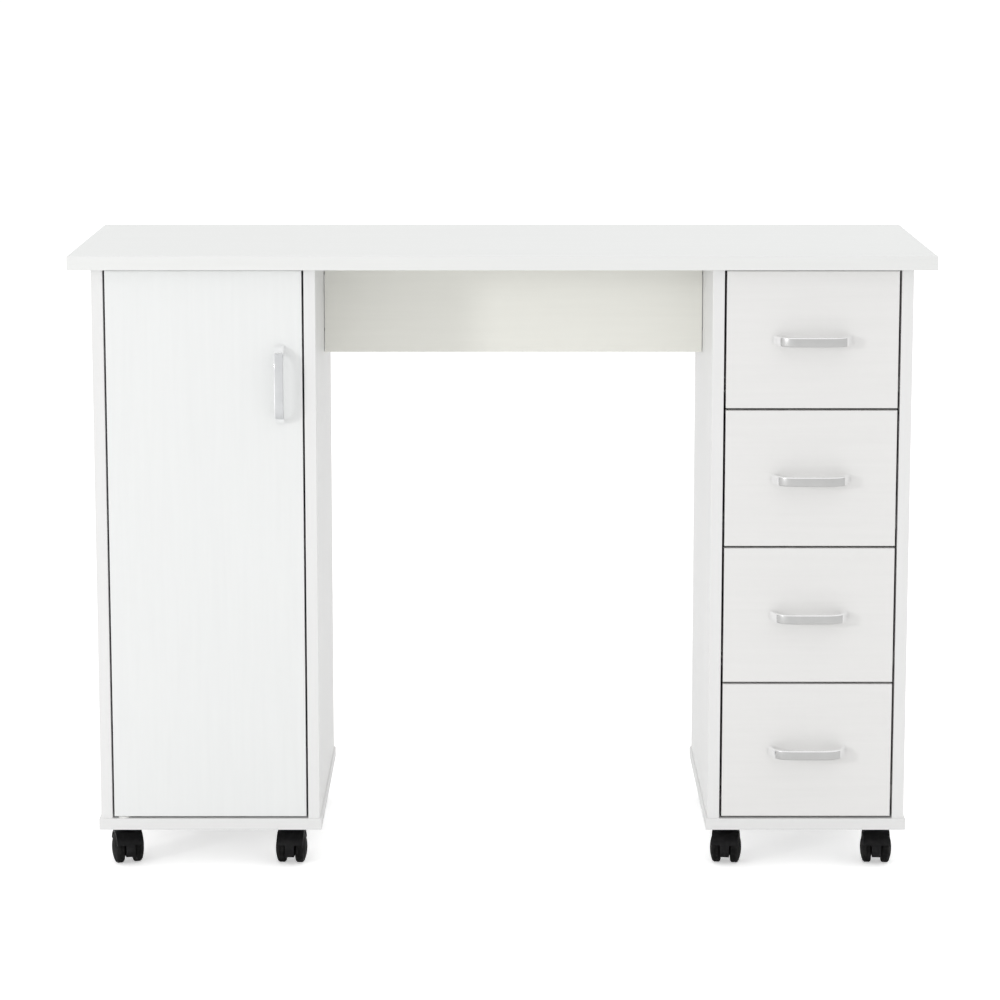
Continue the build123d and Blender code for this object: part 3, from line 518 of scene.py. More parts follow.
# %% [markdown]
# ## Meshes from bmesh and from Geometry Nodes
#
# A finished piece is a mesh object at the origin with its place in its vertices. The
# helpers below make one from a bmesh, or from the evaluated result of a geometry tree.


# %% Piece helpers
def new_object(name, data):
    """An object with this data, put into the scene."""
    thing = bpy.data.objects.new(name, data)
    bpy.context.scene.collection.objects.link(thing)
    return thing


def settle(carrier):
    """The plain mesh that an object's modifiers make; the object is removed."""
    depsgraph = bpy.context.evaluated_depsgraph_get()
    mesh = bpy.data.meshes.new_from_object(carrier.evaluated_get(depsgraph))
    carrier.modifiers.clear()
    bpy.data.objects.remove(carrier)
    return mesh


def close_mesh(mesh, data):
    """Write a bmesh into mesh data, its faces pointing outwards."""
    bmesh.ops.recalc_face_normals(mesh, faces=mesh.faces)
    mesh.to_mesh(data)
    mesh.free()
    return data


def piece_from(mesh, name, body, materials, stands_for, smooth_angle=35.0):
    """Turn mesh data into a finished piece on a body, standing for its CAD nodes."""
    piece = new_object(name, mesh)
    if materials:
        mesh.materials.clear()
        for material in materials:
            mesh.materials.append(material)
    mesh.shade_smooth()
    mesh.set_sharp_from_angle(angle=math.radians(smooth_angle))
    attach(piece, body)
    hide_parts(*stands_for)
    return piece


def evaluate_tree(tree, values, name, start=None):
    """Run a geometry tree on a start mesh, or an empty one, and return plain mesh data."""
    carrier = new_object(name + "_carrier", start or bpy.data.meshes.new(name))
    modifier = carrier.modifiers.new("build", "NODES")
    modifier.node_group = tree
    sockets = {s.name: s.identifier for s in tree.interface.items_tree if s.in_out == "INPUT"}
    for label, value in values.items():
        modifier[sockets[label]] = value
    return settle(carrier)


print("helpers: new_object, settle, close_mesh, piece_from, evaluate_tree")

# %% [markdown]
# ## The bow handles
#
# Seen from above, the handle is an arch: two feet on the panel, rounded knees, and a
# grip that bows gently outwards. It could be drawn point by point, but a superellipse
# draws such an arch with one formula: x follows cos^e and y follows sin^e of the same
# angle, and a small exponent e makes it boxy. Geometry Nodes suit a shape that follows
# a rule. The tree's inputs are the sizes that one handle may differ in from another.

# %% Handle tree
MATERIAL, GEOMETRY = "NodeSocketMaterial", "NodeSocketGeometry"

handle_tree, given, made = new_group(
    "bow_handle",
    {
        "Length": (FLOAT, 0.105),
        "Projection": (FLOAT, 0.028),
        "Height": (FLOAT, 0.012),
        "Metal": (FLOAT, 0.005),
        "Lean": (FLOAT, 0.16),
        "Bow": (FLOAT, 0.0045),
        "Polished With Painted Highlight": (MATERIAL, None),
        "Satin With Painted Shade": (MATERIAL, None),
    },
    {"Geometry": GEOMETRY},
    "GeometryNodeTree",
)
handle_step = partial(add_step, handle_tree)
handle_math = partial(math_node, handle_tree)
print("handle tree inputs", len(given) - 1)

# %% [markdown]
# The middle line of the arch starts as a straight line of points. Half a turn, shared
# out over the points, gives each its angle. The legs lean inwards as they rise, which
# narrows the arch towards the grip, and the squared sine adds the gentle bow.

# %% Handle middle line
POINTS_ALONG = 72
BOXINESS = 0.34     # exponent: 1 is an ellipse, towards 0 a box
END_INSET = 0.85    # of the metal, from the handle's end to the middle line

line = handle_step("GeometryNodeMeshLine", {"Count": POINTS_ALONG})
number = handle_step("GeometryNodeInputIndex")
turn = handle_math("MULTIPLY", number, math.pi / (POINTS_ALONG - 1))
cosine = handle_math("COSINE", turn)
sine = handle_math("MAXIMUM", handle_math("SINE", turn), 0.0)
reach_x = handle_math("POWER", handle_math("ABSOLUTE", cosine), BOXINESS)
reach_y = handle_math("POWER", sine, BOXINESS)
signed_x = handle_math("MULTIPLY", reach_x, handle_math("SIGN", cosine))

half_length = handle_math("MULTIPLY", given["Length"], 0.5)
half = handle_math("SUBTRACT", half_length, handle_math("MULTIPLY", given["Metal"], END_INSET))
lean = handle_math("SUBTRACT", 1.0, handle_math("MULTIPLY", reach_y, given["Lean"]))
spine_x = handle_math("MULTIPLY", handle_math("MULTIPLY", signed_x, half), lean)

half_metal = handle_math("MULTIPLY", given["Metal"], 0.5)
knee = handle_math("SUBTRACT", given["Projection"], given["Bow"])
shoulder = handle_math("SUBTRACT", knee, half_metal)
bulge = handle_math("MULTIPLY", handle_math("POWER", sine, 2.0), given["Bow"])
spine_y = handle_math("ADD", handle_math("MULTIPLY", reach_y, shoulder), bulge)

spot = handle_step("ShaderNodeCombineXYZ", {"X": spine_x, "Z": spine_y})
bent = handle_step("GeometryNodeSetPosition", {"Geometry": line, "Position": spot})
print("middle line points", POINTS_ALONG)

# %% [markdown]
# The bar is a small rectangle with rounded corners, swept along the middle line. A free
# curve normal keeps the bar upright all the way, where the usual one could twist it.

# %% Handle bar
BAR_ROUND = 0.0016
BAR_ROUND_POINTS = 5

path = handle_step("GeometryNodeMeshToCurve", {"Mesh": bent})
upright = handle_step(
    "GeometryNodeSetCurveNormal", {"Curve": path, "Normal": (0.0, 1.0, 0.0)}, mode="FREE"
)
bar = handle_step(
    "GeometryNodeCurvePrimitiveQuadrilateral",
    {"Width": given["Height"], "Height": given["Metal"]},
)
rounded = handle_step(
    "GeometryNodeFilletCurve",
    {"Curve": bar, "Radius": BAR_ROUND, "Count": BAR_ROUND_POINTS}, mode="POLY",
)
swept = handle_step(
    "GeometryNodeCurveToMesh", {"Curve": upright, "Profile Curve": rounded, "Fill Caps": True}
)
print("bar corners rounded by", BAR_ROUND)

# %% [markdown]
# The legs and the upper edge of the grip get the bright chrome, partly polish and partly
# painted highlight, and the rest of the grip gets the satin, whose grey is painted shade.
# Two comparisons make the selection: how far a face lies from the middle, and how much
# it looks up, which is +Y while the handle still lies flat. Looking up is what gives the
# upper edge its painted highlight.

# %% Handle finish
GRIP_SHARE = 0.40   # half the grip, of the handle's length
HIGHLIGHT_EDGE_LOOK = 0.4     # faces that look up more than this get the bright chrome as painted highlight

position = handle_step("GeometryNodeInputPosition")
across = handle_step("ShaderNodeSeparateXYZ", {0: position})
from_middle = handle_math("ABSOLUTE", across)
grip_half = handle_math("MULTIPLY", given["Length"], GRIP_SHARE)
on_grip = handle_math("LESS_THAN", from_middle, grip_half)
normal = handle_step("GeometryNodeInputNormal")
facing_up = add_node(handle_tree, "ShaderNodeSeparateXYZ", {0: normal}).outputs["Y"]
below_highlight_edge = handle_math("LESS_THAN", facing_up, HIGHLIGHT_EDGE_LOOK)
satin_and_shade_part = handle_math("MULTIPLY", on_grip, below_highlight_edge)

real = handle_step("GeometryNodeRealizeInstances", {"Geometry": swept})
polish_and_highlight_part = handle_step(
    "GeometryNodeSetMaterial", {"Geometry": real, "Material": given["Polished With Painted Highlight"]}
)
both = handle_step(
    "GeometryNodeSetMaterial",
    {"Geometry": polish_and_highlight_part, "Selection": satin_and_shade_part, "Material": given["Satin With Painted Shade"]},
)
handle_tree.links.new(both, made["Geometry"])
print("handle tree", len(handle_tree.nodes), "nodes")

# %% [markdown]
# Two screws hold each handle from behind the panel, and their domed heads show when a
# drawer is open. A dome is a few rings of points, each smaller than the last.


# %% Handle screw heads
HEAD_STEPS = 20
HEAD_THICK = 0.002
HEAD_RINGS = [(0.0, 0.004), (-0.0006, 0.0038), (-0.0012, 0.0031), (-0.0016, 0.0012)]


def add_ring(mesh, place, radius, steps, along=0.0):
    """A ring of new points round the local Z of a place."""
    ring = []
    for step in range(steps):
        angle = 2 * math.pi * step / steps
        spot = Vector((radius * math.cos(angle), radius * math.sin(angle), along))
        ring.append(mesh.verts.new(place @ spot))
    return ring


def join_rings(mesh, first, second):
    """A band of faces between two rings; a ring of one point closes it to a fan."""
    faces = []
    for step, corner in enumerate(first):
        after = (step + 1) % len(first)
        far = [second[0]] if len(second) == 1 else [second[after], second[step]]
        faces.append(mesh.faces.new([corner, first[after], *far]))
    return faces


def add_screw_head(mesh, tip):
    """A domed head behind the panel, on a screw whose far end lies at tip."""
    rings = []
    for drop, radius in HEAD_RINGS:
        centre = tip - Vector((0, HEAD_THICK + drop, 0))
        place = Matrix.Translation(centre) @ Matrix.Rotation(math.radians(90), 4, "X")
        rings.append(add_ring(mesh, place, radius, HEAD_STEPS))
    for first, second in zip(rings, rings[1:]):
        join_rings(mesh, first, second)
    for end in (rings[0], rings[-1]):
        mesh.faces.new(end)


print("screw head rings", len(HEAD_RINGS))

# %% [markdown]
# The tree makes the handle lying along X and standing out along Z. Each one is turned
# to face the user, upright on the door, and gets its two screws at the back.


# %% Build the handles
def handle_solids(node):
    """The corners of a handle's grip, then those of its two screws."""
    spans = sorted((span(points) for points in islands(node)), key=lambda pair: pair[0].y)
    return spans[0], spans[1:]


def build_handle(owner, finish, upright):
    """One handle on a body, sized from its CAD node."""
    node, label = f"{owner}_handle", f"{owner}_handle_bow"
    (low, high), screws = handle_solids(node)
    wide, tall = high.x - low.x, high.z - low.z
    values = {
        "Length": tall if upright else wide,
        "Projection": front_y - low.y,
        "Height": wide if upright else tall,
        "Polished With Painted Highlight": finishes["chrome"],
        "Satin With Painted Shade": finishes[finish],
    }
    data = evaluate_tree(handle_tree, values, label)
    centre = (low + high) / 2
    out_of_panel = Matrix.Rotation(math.radians(90), 4, "X")
    spin = Matrix.Rotation(math.radians(-90 if upright else 0), 4, "Y")
    data.transform(Matrix.Translation((centre.x, front_y, centre.z)) @ spin @ out_of_panel)
    mesh = bmesh.new()
    mesh.from_mesh(data)
    bmesh.ops.remove_doubles(mesh, verts=mesh.verts, dist=SAME_POINT)
    for screw_low, screw_high in screws:
        centre = (screw_low + screw_high) / 2
        add_screw_head(mesh, Vector((centre.x, screw_high.y, centre.z)))
    close_mesh(mesh, data)
    return piece_from(data, label, owner, None, [node])


for owner in DRAWERS:
    build_handle(owner, "satin_wide_painted_shade", upright=False)
build_handle("door", "satin_tall_painted_shade_and_light", upright=True)
print("handles", len(DRAWERS) + 1)

# %% [markdown]
# ## The casters
#
# A twin-wheel caster is two moulded discs on one axle with a hood between them. A disc
# is a shape of revolution, so its outline is turned round the axle. The first half of
# the outline runs out along the flat inner face and over the tread, which has two fine
# grooves between rounded shoulders.


# %% Wheel tread
AXLE_RADIUS = 0.0025
INNER_ROUND, OUTER_ROUND = 0.0030, 0.0055
INNER_STEPS, OUTER_STEPS = 6, 10
TREAD_END = 0.52        # of the wheel's width: where the flat tread ends
SHOULDER_WIDE = 0.30    # of the wheel's width: how far the outer shoulder runs
GROOVE = 0.0005
GROOVE_PLACES = (0.33, 0.67)


def tread_outline(radius, inner, outer):
    """The wheel's outline, as (radius, along the axle), from the axle over the tread."""
    flat_start = inner + INNER_ROUND
    flat_end = inner + (outer - inner) * TREAD_END
    outline = [(AXLE_RADIUS, inner), (radius - INNER_ROUND, inner)]
    for step in range(1, INNER_STEPS + 1):
        angle = math.pi / 2 * step / INNER_STEPS
        outline.append((
            radius - INNER_ROUND + INNER_ROUND * math.sin(angle),
            flat_start - INNER_ROUND * math.cos(angle),
        ))
    for share in GROOVE_PLACES:
        place = flat_start + (flat_end - flat_start) * share
        outline += [
            (radius, place - GROOVE),
            (radius - GROOVE, place - GROOVE / 3),
            (radius - GROOVE, place + GROOVE / 3),
            (radius, place + GROOVE),
        ]
    outline.append((radius, flat_end))
    for step in range(1, OUTER_STEPS):
        angle = math.pi / 2 * step / OUTER_STEPS
        outline.append((
            radius - OUTER_ROUND * (1 - math.cos(angle)),
            flat_end + (outer - inner) * SHOULDER_WIDE * math.sin(angle),
        ))
    return outline


print("tread grooves", len(GROOVE_PLACES))

# %% [markdown]
# The second half is the outer face: a low dome with a fine seam ring near the rim and
# a groove round the hub cap. One formula lays every point on the dome.


# %% Wheel face
DOME_POWER = 2.2
FACE_RIM, SEAM, HUB = 0.73, 0.70, 0.33      # of the wheel's radius
FACE_RINGS = (0.68, 0.62, 0.54, 0.46, 0.38)
CAP_RINGS = (0.22, 0.1)
SEAM_HALF, SEAM_DEEP = 0.0002, 0.0005
CAP_INSET, CAP_WIDE, CAP_DEEP = 0.0003, 0.0007, 0.0004      # the groove at the cap


def face_outline(radius, outer, rim):
    """The domed outer face of a wheel, from the end of its rim to the axle's middle."""

    def dome(r):
        """How far along the axle the domed face lies at a radius."""
        return outer - (outer - rim[1]) * (r / rim[0]) ** DOME_POWER

    def on_dome(shares):
        return [(radius * share, dome(radius * share)) for share in shares]

    seam, hub = radius * SEAM, radius * HUB
    seam_ring = [
        (seam + 2 * SEAM_HALF, dome(seam)),
        (seam + SEAM_HALF, dome(seam) - SEAM_DEEP),
        (seam - SEAM_HALF, dome(seam) - SEAM_DEEP),
    ]
    cap_groove = [(hub - CAP_INSET, dome(hub) - CAP_DEEP), (hub - CAP_WIDE, dome(hub))]
    face = on_dome([FACE_RIM]) + seam_ring + on_dome([*FACE_RINGS, HUB])
    return face + cap_groove + on_dome(CAP_RINGS) + [(0.0, outer)]


print("face rings", len(FACE_RINGS) + len(CAP_RINGS))

# %% [markdown]
# Every caster's axle has its own place and direction, which the joint knows. A matrix
# with its local Z along the axle lets one outline serve all of them, and its inverse
# measures the CAD wheels: their radius, and where they begin and end on the axle.


# %% Measure the wheels
INSIDE_CAD = 0.9999     # keeps the turned tread just inside the CAD wheel
RIM_SHARE = 0.8         # points past this share of the radius belong to the wheels


def axle_matrix(name):
    """Place of a caster's axle: local Z along it, local X along the trail, Y up."""
    joint = joints[f"wheel_roll_{name}"]
    axle = Vector(joint["axis"]).normalized()
    up = Vector((0, 0, 1))
    trail = up.cross(axle)
    turn = Matrix((trail, up, axle)).transposed().to_4x4()
    return Matrix.Translation(Vector(joint["pos_m"])) @ turn


def wheel_sizes(name):
    """Radius, inner face and outer face of a caster's wheels, measured on its axle."""
    back = axle_matrix(name).inverted()
    spots = [back @ vert.co for vert in nodes[f"{name}_wheels"].data.vertices]
    along = np.array([spot.z for spot in spots])
    radial = np.array([math.hypot(spot.x, spot.y) for spot in spots])
    radius = radial.max() * INSIDE_CAD
    inner = np.abs(along[radial > radius * RIM_SHARE]).min()
    return radius, inner, along.max()


print("wheel radius, start, end", [round(float(v), 4) for v in wheel_sizes(CASTERS[0])])

# %% [markdown]
# Turning an outline makes a ring of points for each of its points and a band of faces
# between neighbours. The bands of the outer face get the lighter, glossier copy of the
# nylon, whose grey is painted light.


# %% Build the wheels
WHEEL_STEPS, AXLE_STEPS = 64, 24
FACE_DROP = 0.001           # the face begins where the shoulder has dropped this far
TREAD, FACE, AXLE = range(3)


def turn_outline(mesh, outline, place, face_from):
    """Turn an outline round the local Z of place; bands past face_from are the face."""
    rings = []
    for radius, along in outline:
        if radius == 0.0:
            rings.append([mesh.verts.new(place @ Vector((0, 0, along)))])
        else:
            rings.append(add_ring(mesh, place, radius, WHEEL_STEPS, along))
    for index, (first, second) in enumerate(zip(rings, rings[1:])):
        for face in join_rings(mesh, first, second):
            face.material_index = FACE if index >= face_from else TREAD
    mesh.faces.new(rings[0])


def add_axle(mesh, place, half):
    """The round axle between the two wheels."""
    ends = [add_ring(mesh, place, AXLE_RADIUS, AXLE_STEPS, along) for along in (-half, half)]
    faces = join_rings(mesh, *ends) + [mesh.faces.new(ring) for ring in ends]
    for face in faces:
        face.material_index = AXLE


def build_wheels(name):
    """Both wheels of a caster and their axle, as one piece on the wheels' body."""
    place = axle_matrix(name)
    radius, inner, outer = wheel_sizes(name)
    tread = tread_outline(radius, inner, outer)
    outline = tread + face_outline(radius, outer, tread[-1])
    shoulder = len(tread) - OUTER_STEPS
    face_from = next(
        index for index, point in enumerate(outline)
        if index > shoulder and point[0] < radius - FACE_DROP
    )
    mesh = bmesh.new()
    for half_turn in (0.0, math.pi):
        side = Matrix.Rotation(half_turn, 4, "Y")
        turn_outline(mesh, outline, place @ side, face_from)
    add_axle(mesh, place, inner)
    label = f"{name}_twin_wheels"
    data = close_mesh(mesh, bpy.data.meshes.new(label))
    materials = [finishes["tread"], finishes["wheel_face_painted_light"], finishes["zinc"]]
    body = f"{name}_wheel_pair"
    return piece_from(data, label, body, materials, [f"{name}_wheels"], 28.0)


for name in CASTERS:
    build_wheels(name)
print("wheel pairs", len(CASTERS))

# %% [markdown]
# The hood is a moulding, so no edge of it is really sharp, and its web ends well over
# the floor. A copy of the CAD mesh is merged into one skin, cut off level, its flat
# triangles are joined, and a bevel rounds every corner.


# %% Round the hoods
WEB_BOTTOM = 0.0122     # height over the floor where the visible web ends
HOOD_ROUND = 0.0010
HOOD_ROUND_STEPS = 3
HOOD_WELD = 2e-6        # the CAD skin's loose corners lie closer together than this
HOOD_EDGE_ANGLE = 32.0  # edges that turn more than this are rounded


def trimmed_hood(node):
    """The CAD hood as one skin with its web cut off at WEB_BOTTOM, as mesh data."""
    mesh = bmesh.new()
    mesh.from_mesh(nodes[node].data)
    bmesh.ops.remove_doubles(mesh, verts=mesh.verts, dist=HOOD_WELD)
    everything = mesh.verts[:] + mesh.edges[:] + mesh.faces[:]
    cut = bmesh.ops.bisect_plane(
        mesh, geom=everything, plane_co=(0, 0, WEB_BOTTOM), plane_no=(0, 0, -1),
        clear_outer=True,
    )
    rim = [item for item in cut["geom_cut"] if isinstance(item, bmesh.types.BMEdge)]
    bmesh.ops.holes_fill(mesh, edges=rim, sides=0)
    bmesh.ops.dissolve_limit(
        mesh, angle_limit=math.radians(1.0), verts=mesh.verts, edges=mesh.edges
    )
    return close_mesh(mesh, bpy.data.meshes.new(node))


def moulded_hood(name):
    """A caster's hood with rounded corners and its web trimmed short over the floor."""
    node, label = f"{name}_hood", f"{name}_moulded_hood"
    carrier = new_object(f"{node}_copy", trimmed_hood(node))
    bevel = carrier.modifiers.new("round", "BEVEL")
    bevel.width = HOOD_ROUND
    bevel.segments = HOOD_ROUND_STEPS
    bevel.limit_method = "ANGLE"
    bevel.angle_limit = math.radians(HOOD_EDGE_ANGLE)
    bevel.use_clamp_overlap = True
    finish = [finishes["hood"]]
    return piece_from(
        settle(carrier), label, f"{name}_swivel", finish, [node], 30.0
    )


for name in CASTERS:
    moulded_hood(name)
print("hoods", len(CASTERS))

# %% [markdown]
# ## The screws
#
# Sixty-odd screws hold the boards, the caster plates and the drawer channels. They
# differ only in size and in the taper of the head, so Geometry Nodes build the screw
# once and put a copy on every point that marks a head. The tree's inputs are the sizes
# of one screw.

# %% Screw tree
screw_tree, given, made = new_group(
    "board_screws",
    {
        "Heads": (GEOMETRY, None),
        "Head Face": (FLOAT, 0.0025),
        "Head Underside": (FLOAT, 0.0035),
        "Head Height": (FLOAT, 0.0022),
        "Shank Radius": (FLOAT, 0.00175),
        "Length": (FLOAT, 0.0142),
        "Metal": (MATERIAL, None),
    },
    {"Geometry": GEOMETRY},
    "GeometryNodeTree",
)
screw_step = partial(add_step, screw_tree)
screw_math = partial(math_node, screw_tree)


def moved_down(geometry, drop):
    """The geometry shifted along -Z by a distance."""
    offset = screw_step("ShaderNodeCombineXYZ", {"Z": screw_math("MULTIPLY", drop, -1.0)})
    values = {"Geometry": geometry, "Translation": offset}
    return screw_step("GeometryNodeTransform", values)


def joined(parts):
    """Several geometries as one."""
    node = add_node(screw_tree, "GeometryNodeJoinGeometry")
    for part in parts:
        screw_tree.links.new(part, node.inputs[0])
    return node.outputs[0]


print("screw tree inputs", len(given) - 1)

# %% [markdown]
# The head is a short cone with its face up at the origin, and two slots cut into it
# make the cross. They are cut one after the other and to slightly different depths,
# because a boolean is only sure of itself where no faces coincide.

# %% Screw head
HEAD_SIDES = 28
SLOT_LONG, SLOT_WIDE = 1.25, 0.30       # of the head face's radius
SLOT_DEPTHS = (1.2, 1.25)               # of the head's height, half of it above the face

head = screw_step(
    "GeometryNodeMeshCone",
    {"Vertices": HEAD_SIDES, "Radius Top": given["Head Face"],
     "Radius Bottom": given["Head Underside"], "Depth": given["Head Height"]},
)
head = moved_down(head, given["Head Height"])
slot_long = screw_math("MULTIPLY", given["Head Face"], SLOT_LONG)
slot_wide = screw_math("MULTIPLY", given["Head Face"], SLOT_WIDE)
slots = ((slot_long, slot_wide), (slot_wide, slot_long))
for (wide, high), depth in zip(slots, SLOT_DEPTHS):
    deep = screw_math("MULTIPLY", given["Head Height"], depth)
    size = screw_step("ShaderNodeCombineXYZ", {"X": wide, "Y": high, "Z": deep})
    values = {"Mesh 1": head, "Mesh 2": screw_step("GeometryNodeMeshCube", {"Size": size})}
    head = screw_step("GeometryNodeMeshBoolean", values, operation="DIFFERENCE")
print("slots in a head", len(slots))

# %% [markdown]
# Below the head come a plain core and a pointed tip. Each reaches a little into the
# next and the tip is a hair thinner, so that no two caps share a plane.

# %% Screw shank and tip
SHANK_SIDES = 16
CORE = 0.78         # of the shank's radius, which is measured over the thread
SHANK_START = 0.8   # of the head's height, so the shank begins inside the head
TIP_LONG = 2.2      # of the shank's radius
TIP_THIN = 0.98     # of the core
TIP_OVERLAP = 1.08  # of the tip's length, so it begins inside the core

core = screw_math("MULTIPLY", given["Shank Radius"], CORE)
tip = screw_math("MULTIPLY", given["Shank Radius"], TIP_LONG)
shank_end = screw_math("SUBTRACT", given["Length"], tip)
shank_start = screw_math("MULTIPLY", given["Head Height"], SHANK_START)
shank_depth = screw_math("SUBTRACT", shank_end, shank_start)
shank = screw_step(
    "GeometryNodeMeshCylinder",
    {"Vertices": SHANK_SIDES, "Radius": core, "Depth": shank_depth},
)
shank_middle = screw_math("MULTIPLY", screw_math("ADD", shank_end, shank_start), 0.5)
shank = moved_down(shank, shank_middle)
point = screw_step(
    "GeometryNodeMeshCone",
    {"Vertices": SHANK_SIDES, "Radius Top": screw_math("MULTIPLY", core, TIP_THIN),
     "Radius Bottom": 0.0, "Depth": screw_math("MULTIPLY", tip, TIP_OVERLAP)},
)
point = moved_down(point, given["Length"])
print("shank sides", SHANK_SIDES)

# %% [markdown]
# The thread is a three-sided ridge swept along a spiral on the core. Its pitch follows
# the shank's radius, so a thicker screw gets a coarser thread.

# %% Screw thread
PITCH, RIDGE = 0.9, 0.21    # of the shank's radius
TURN_POINTS = 14

pitch = screw_math("MULTIPLY", given["Shank Radius"], PITCH)
spiral = screw_step(
    "GeometryNodeCurveSpiral",
    {
        "Resolution": TURN_POINTS,
        "Rotations": screw_math("DIVIDE", shank_depth, pitch),
        "Start Radius": core,
        "End Radius": core,
        "Height": shank_depth,
    },
)
ridge = screw_step(
    "GeometryNodeCurvePrimitiveCircle",
    {"Resolution": 3, "Radius": screw_math("MULTIPLY", given["Shank Radius"], RIDGE)},
)
thread = screw_step(
    "GeometryNodeCurveToMesh", {"Curve": spiral, "Profile Curve": ridge, "Fill Caps": True}
)
thread = moved_down(thread, shank_end)
print("points on a turn of thread", TURN_POINTS)

# %% [markdown]
# Every point of the Heads input carries the direction in which its head looks, in an
# attribute. The copies are turned to it, and then made real, because only real faces
# can be exported.

# %% Copy the screws
screw = joined([head, shank, point, thread])
looks = screw_step(
    "GeometryNodeInputNamedAttribute", {"Name": "looks"}, data_type="FLOAT_VECTOR"
)
turned = screw_step("FunctionNodeAlignRotationToVector", {"Vector": looks}, axis="Z")
copies = screw_step(
    "GeometryNodeInstanceOnPoints",
    {"Points": given["Heads"], "Instance": screw, "Rotation": turned},
)
real = screw_step("GeometryNodeRealizeInstances", {"Geometry": copies})
coated = screw_step("GeometryNodeSetMaterial", {"Geometry": real, "Material": given["Metal"]})
screw_tree.links.new(coated, made["Geometry"])
print("screw tree", len(screw_tree.nodes), "nodes")

# %% [markdown]
# A screw's solid says by itself where its head is: it lies along its longest side, and
# the head is the end with the wider ring of points.


# %% Measure the screws
SAME = 1e-5         # lengths closer than this are the same
END_SHARE = 0.25    # of the screw's length: the stretch that counts as an end


def screw_place(points):
    """Middle of a screw's head face, the way it looks, its length and its two radii."""
    low, high = span(points)
    axis = int(np.argmax(points.max(0) - points.min(0)))
    middle = (points.min(0) + points.max(0)) / 2
    first, second = (k for k in range(3) if k != axis)
    radial = np.hypot(points[:, first] - middle[first], points[:, second] - middle[second])
    reach = (high[axis] - low[axis]) * END_SHARE
    wide_low = radial[points[:, axis] < low[axis] + reach].max()
    wide_high = radial[points[:, axis] > high[axis] - reach].max()
    head_low = wide_low > wide_high
    looks, face = Vector((0, 0, 0)), Vector(middle)
    looks[axis] = -1.0 if head_low else 1.0
    face[axis] = low[axis] if head_low else high[axis]
    face_radius = radial[np.abs(points[:, axis] - face[axis]) < SAME].max()
    return face, looks, high[axis] - low[axis], face_radius, max(wide_low, wide_high)


screw_spots = {
    node: [screw_place(points) for points in islands(node)]
    for node in ("small_screws", "long_board_screws")
}
print("screws", {node: len(spots) for node, spots in screw_spots.items()})

# %% [markdown]
# A head whose face is its widest ring is countersunk and tapers to the shank. The
# others are pan heads, which widen downwards and sit on the surface.


# %% Build the screws
COUNTERSUNK_HIGH, PAN_HIGH = 0.8, 0.62      # head height, of the head's radius


def build_screws(node, body):
    """All the screws of one node as one piece, countersunk or pan-headed as in CAD."""
    faces, directions, lengths, face_radii, head_radii = zip(*screw_spots[node])
    heads = bpy.data.meshes.new(node + "_heads")
    heads.from_pydata([tuple(face) for face in faces], [], [])
    looks = heads.attributes.new("looks", "FLOAT_VECTOR", "POINT")
    for item, direction in zip(looks.data, directions):
        item.vector = direction
    countersunk = face_radii[0] > head_radii[0] - SAME
    shank = head_radii[0] / 2
    values = {
        "Head Face": face_radii[0],
        "Head Underside": shank if countersunk else head_radii[0],
        "Head Height": head_radii[0] * (COUNTERSUNK_HIGH if countersunk else PAN_HIGH),
        "Shank Radius": shank,
        "Length": lengths[0],
        "Metal": finishes["zinc"],
    }
    mesh = evaluate_tree(screw_tree, values, f"{node}_threaded", heads)
    piece_from(mesh, f"{node}_threaded", body, None, [node], 30.0)
    print(node, len(faces), "screws", len(mesh.polygons), "faces")


for node in screw_spots:
    build_screws(node, "carcass")

# %% [markdown]
# ## The room
#
# The table stands in a white studio. White on white needs care: the floor has to stay
# a little brighter than the boards, or it greys behind them. It is a matt white that
# also glows faintly, but only where the camera sees it directly, so that the glow
# doesn't light the undersides of the boards.

# %% Floor
FLOOR_HALF = 30.0
FLOOR_WHITE = 0.97
FLOOR_LIFT = 0.45

floor_mesh = bpy.data.meshes.new("studio_floor")
corners = [(-FLOOR_HALF, -FLOOR_HALF, 0), (FLOOR_HALF, -FLOOR_HALF, 0),
           (FLOOR_HALF, FLOOR_HALF, 0), (-FLOOR_HALF, FLOOR_HALF, 0)]
floor_mesh.from_pydata(corners, [], [(0, 1, 2, 3)])
floor = new_object("studio_floor", floor_mesh)
floor_paint, tree, shader = new_material("floor_paint")
shader.inputs["Base Color"].default_value = (FLOOR_WHITE, FLOOR_WHITE, FLOOR_WHITE, 1.0)
shader.inputs["Roughness"].default_value = 0.9
shader.inputs["Specular IOR Level"].default_value = 0.0
shader.inputs["Emission Color"].default_value = (1.0, 1.0, 1.0, 1.0)
seen_directly = add_node(tree, "ShaderNodeLightPath").outputs["Is Camera Ray"]
lift = math_node(tree, "MULTIPLY", seen_directly, FLOOR_LIFT)
tree.links.new(lift, shader.inputs["Emission Strength"])
floor_mesh.materials.append(floor_paint)
print("floor", 2 * FLOOR_HALF, "m wide, lifted by", FLOOR_LIFT)

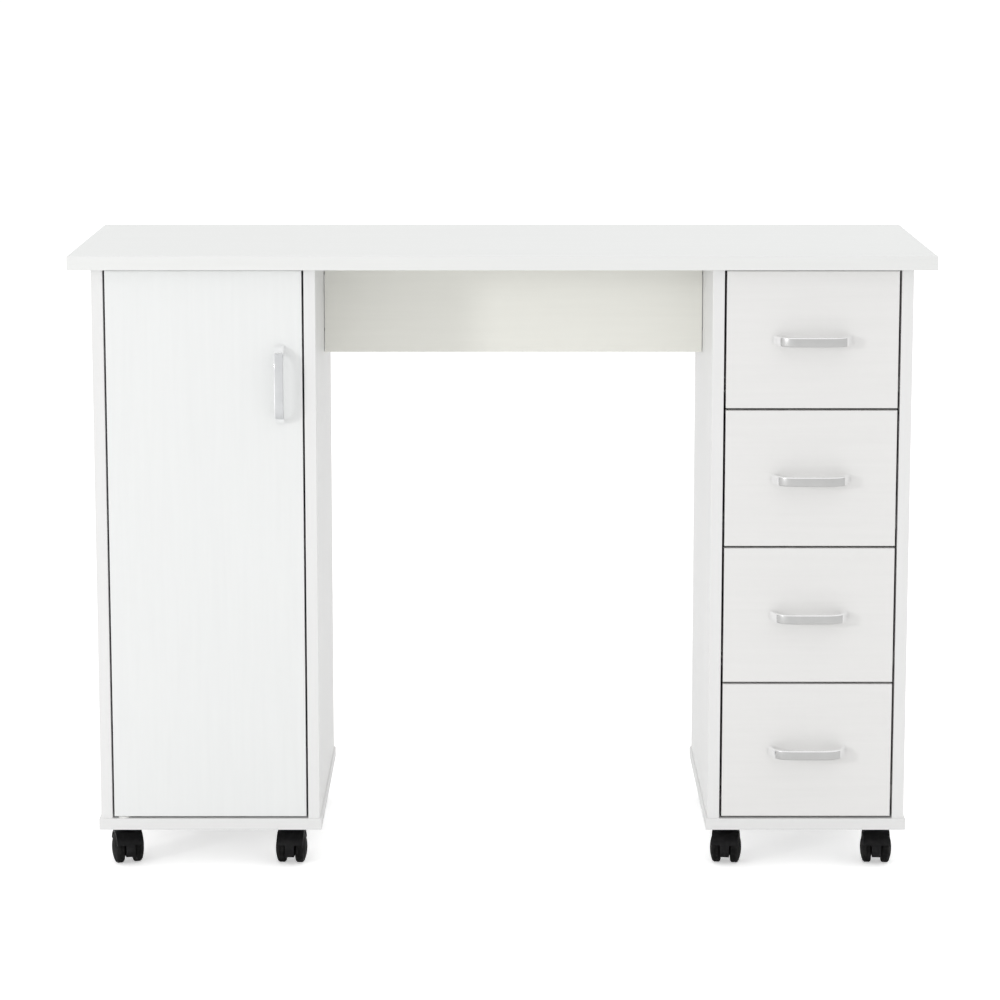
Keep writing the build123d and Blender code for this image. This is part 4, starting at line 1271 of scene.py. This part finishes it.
# %% [markdown]
# The white surroundings give nearly all of the light, from every side alike. A small
# key at the front left makes the door's face brighter than the drawers' and gives the
# handles their glints, and a weak softbox overhead lifts the top. Where the camera sees
# the surroundings directly they are a little brighter, to meet the floor unseen.

# %% Light
ROOM_LIGHT = 0.94
ROOM_LIFT = 0.1

world = bpy.data.worlds.new("white_room")
bpy.context.scene.world = world
world.use_nodes = True
backdrop = world.node_tree.nodes["Background"]
backdrop.inputs["Color"].default_value = (1.0, 1.0, 1.0, 1.0)
seen_directly = add_node(world.node_tree, "ShaderNodeLightPath").outputs["Is Camera Ray"]
strength = math_node(world.node_tree, "MULTIPLY_ADD", seen_directly, ROOM_LIFT, ROOM_LIGHT)
world.node_tree.links.new(strength, backdrop.inputs["Strength"])


def softbox(name, place, target, size, power):
    """A square area light aimed at a target."""
    data = bpy.data.lights.new(name, "AREA")
    data.shape = "SQUARE"
    data.size = size
    data.energy = power
    lamp = new_object(name, data)
    lamp.location = place
    lamp.rotation_euler = (Vector(target) - Vector(place)).to_track_quat("-Z", "Y").to_euler()
    return lamp


TABLE_MIDDLE = (0.0, 0.0, 0.45)
lamps = [
    softbox("key", (-3.3, -3.2, 1.35), TABLE_MIDDLE, size=0.55, power=34.0),
    softbox("overhead", (0.0, 0.8, 3.6), TABLE_MIDDLE, size=3.0, power=9.0),
]
print("lamps", [lamp.name for lamp in lamps])

# %% [markdown]
# A long lens from a good distance keeps the boards' lines nearly parallel. The camera
# looks slightly down, and a small shift of the lens, instead of more tilt, centres the
# table in the frame, which keeps its uprights upright.

# %% Camera
CAMERA_PLACE = (-0.0029, -4.196, 1.25)
CAMERA_PITCH = 8.9
LENS_MM = 114.8
LENS_SHIFT = -0.1

camera_data = bpy.data.cameras.new("camera")
camera_data.sensor_width = 36.0
camera_data.lens = LENS_MM
camera_data.shift_y = LENS_SHIFT
camera = new_object("camera", camera_data)
camera.location = CAMERA_PLACE
camera.rotation_euler = (math.radians(90.0 - CAMERA_PITCH), 0.0, 0.0)
bpy.context.scene.camera = camera
bpy.context.scene.view_settings.view_transform = "Standard"
print("camera", CAMERA_PLACE, "lens", LENS_MM)
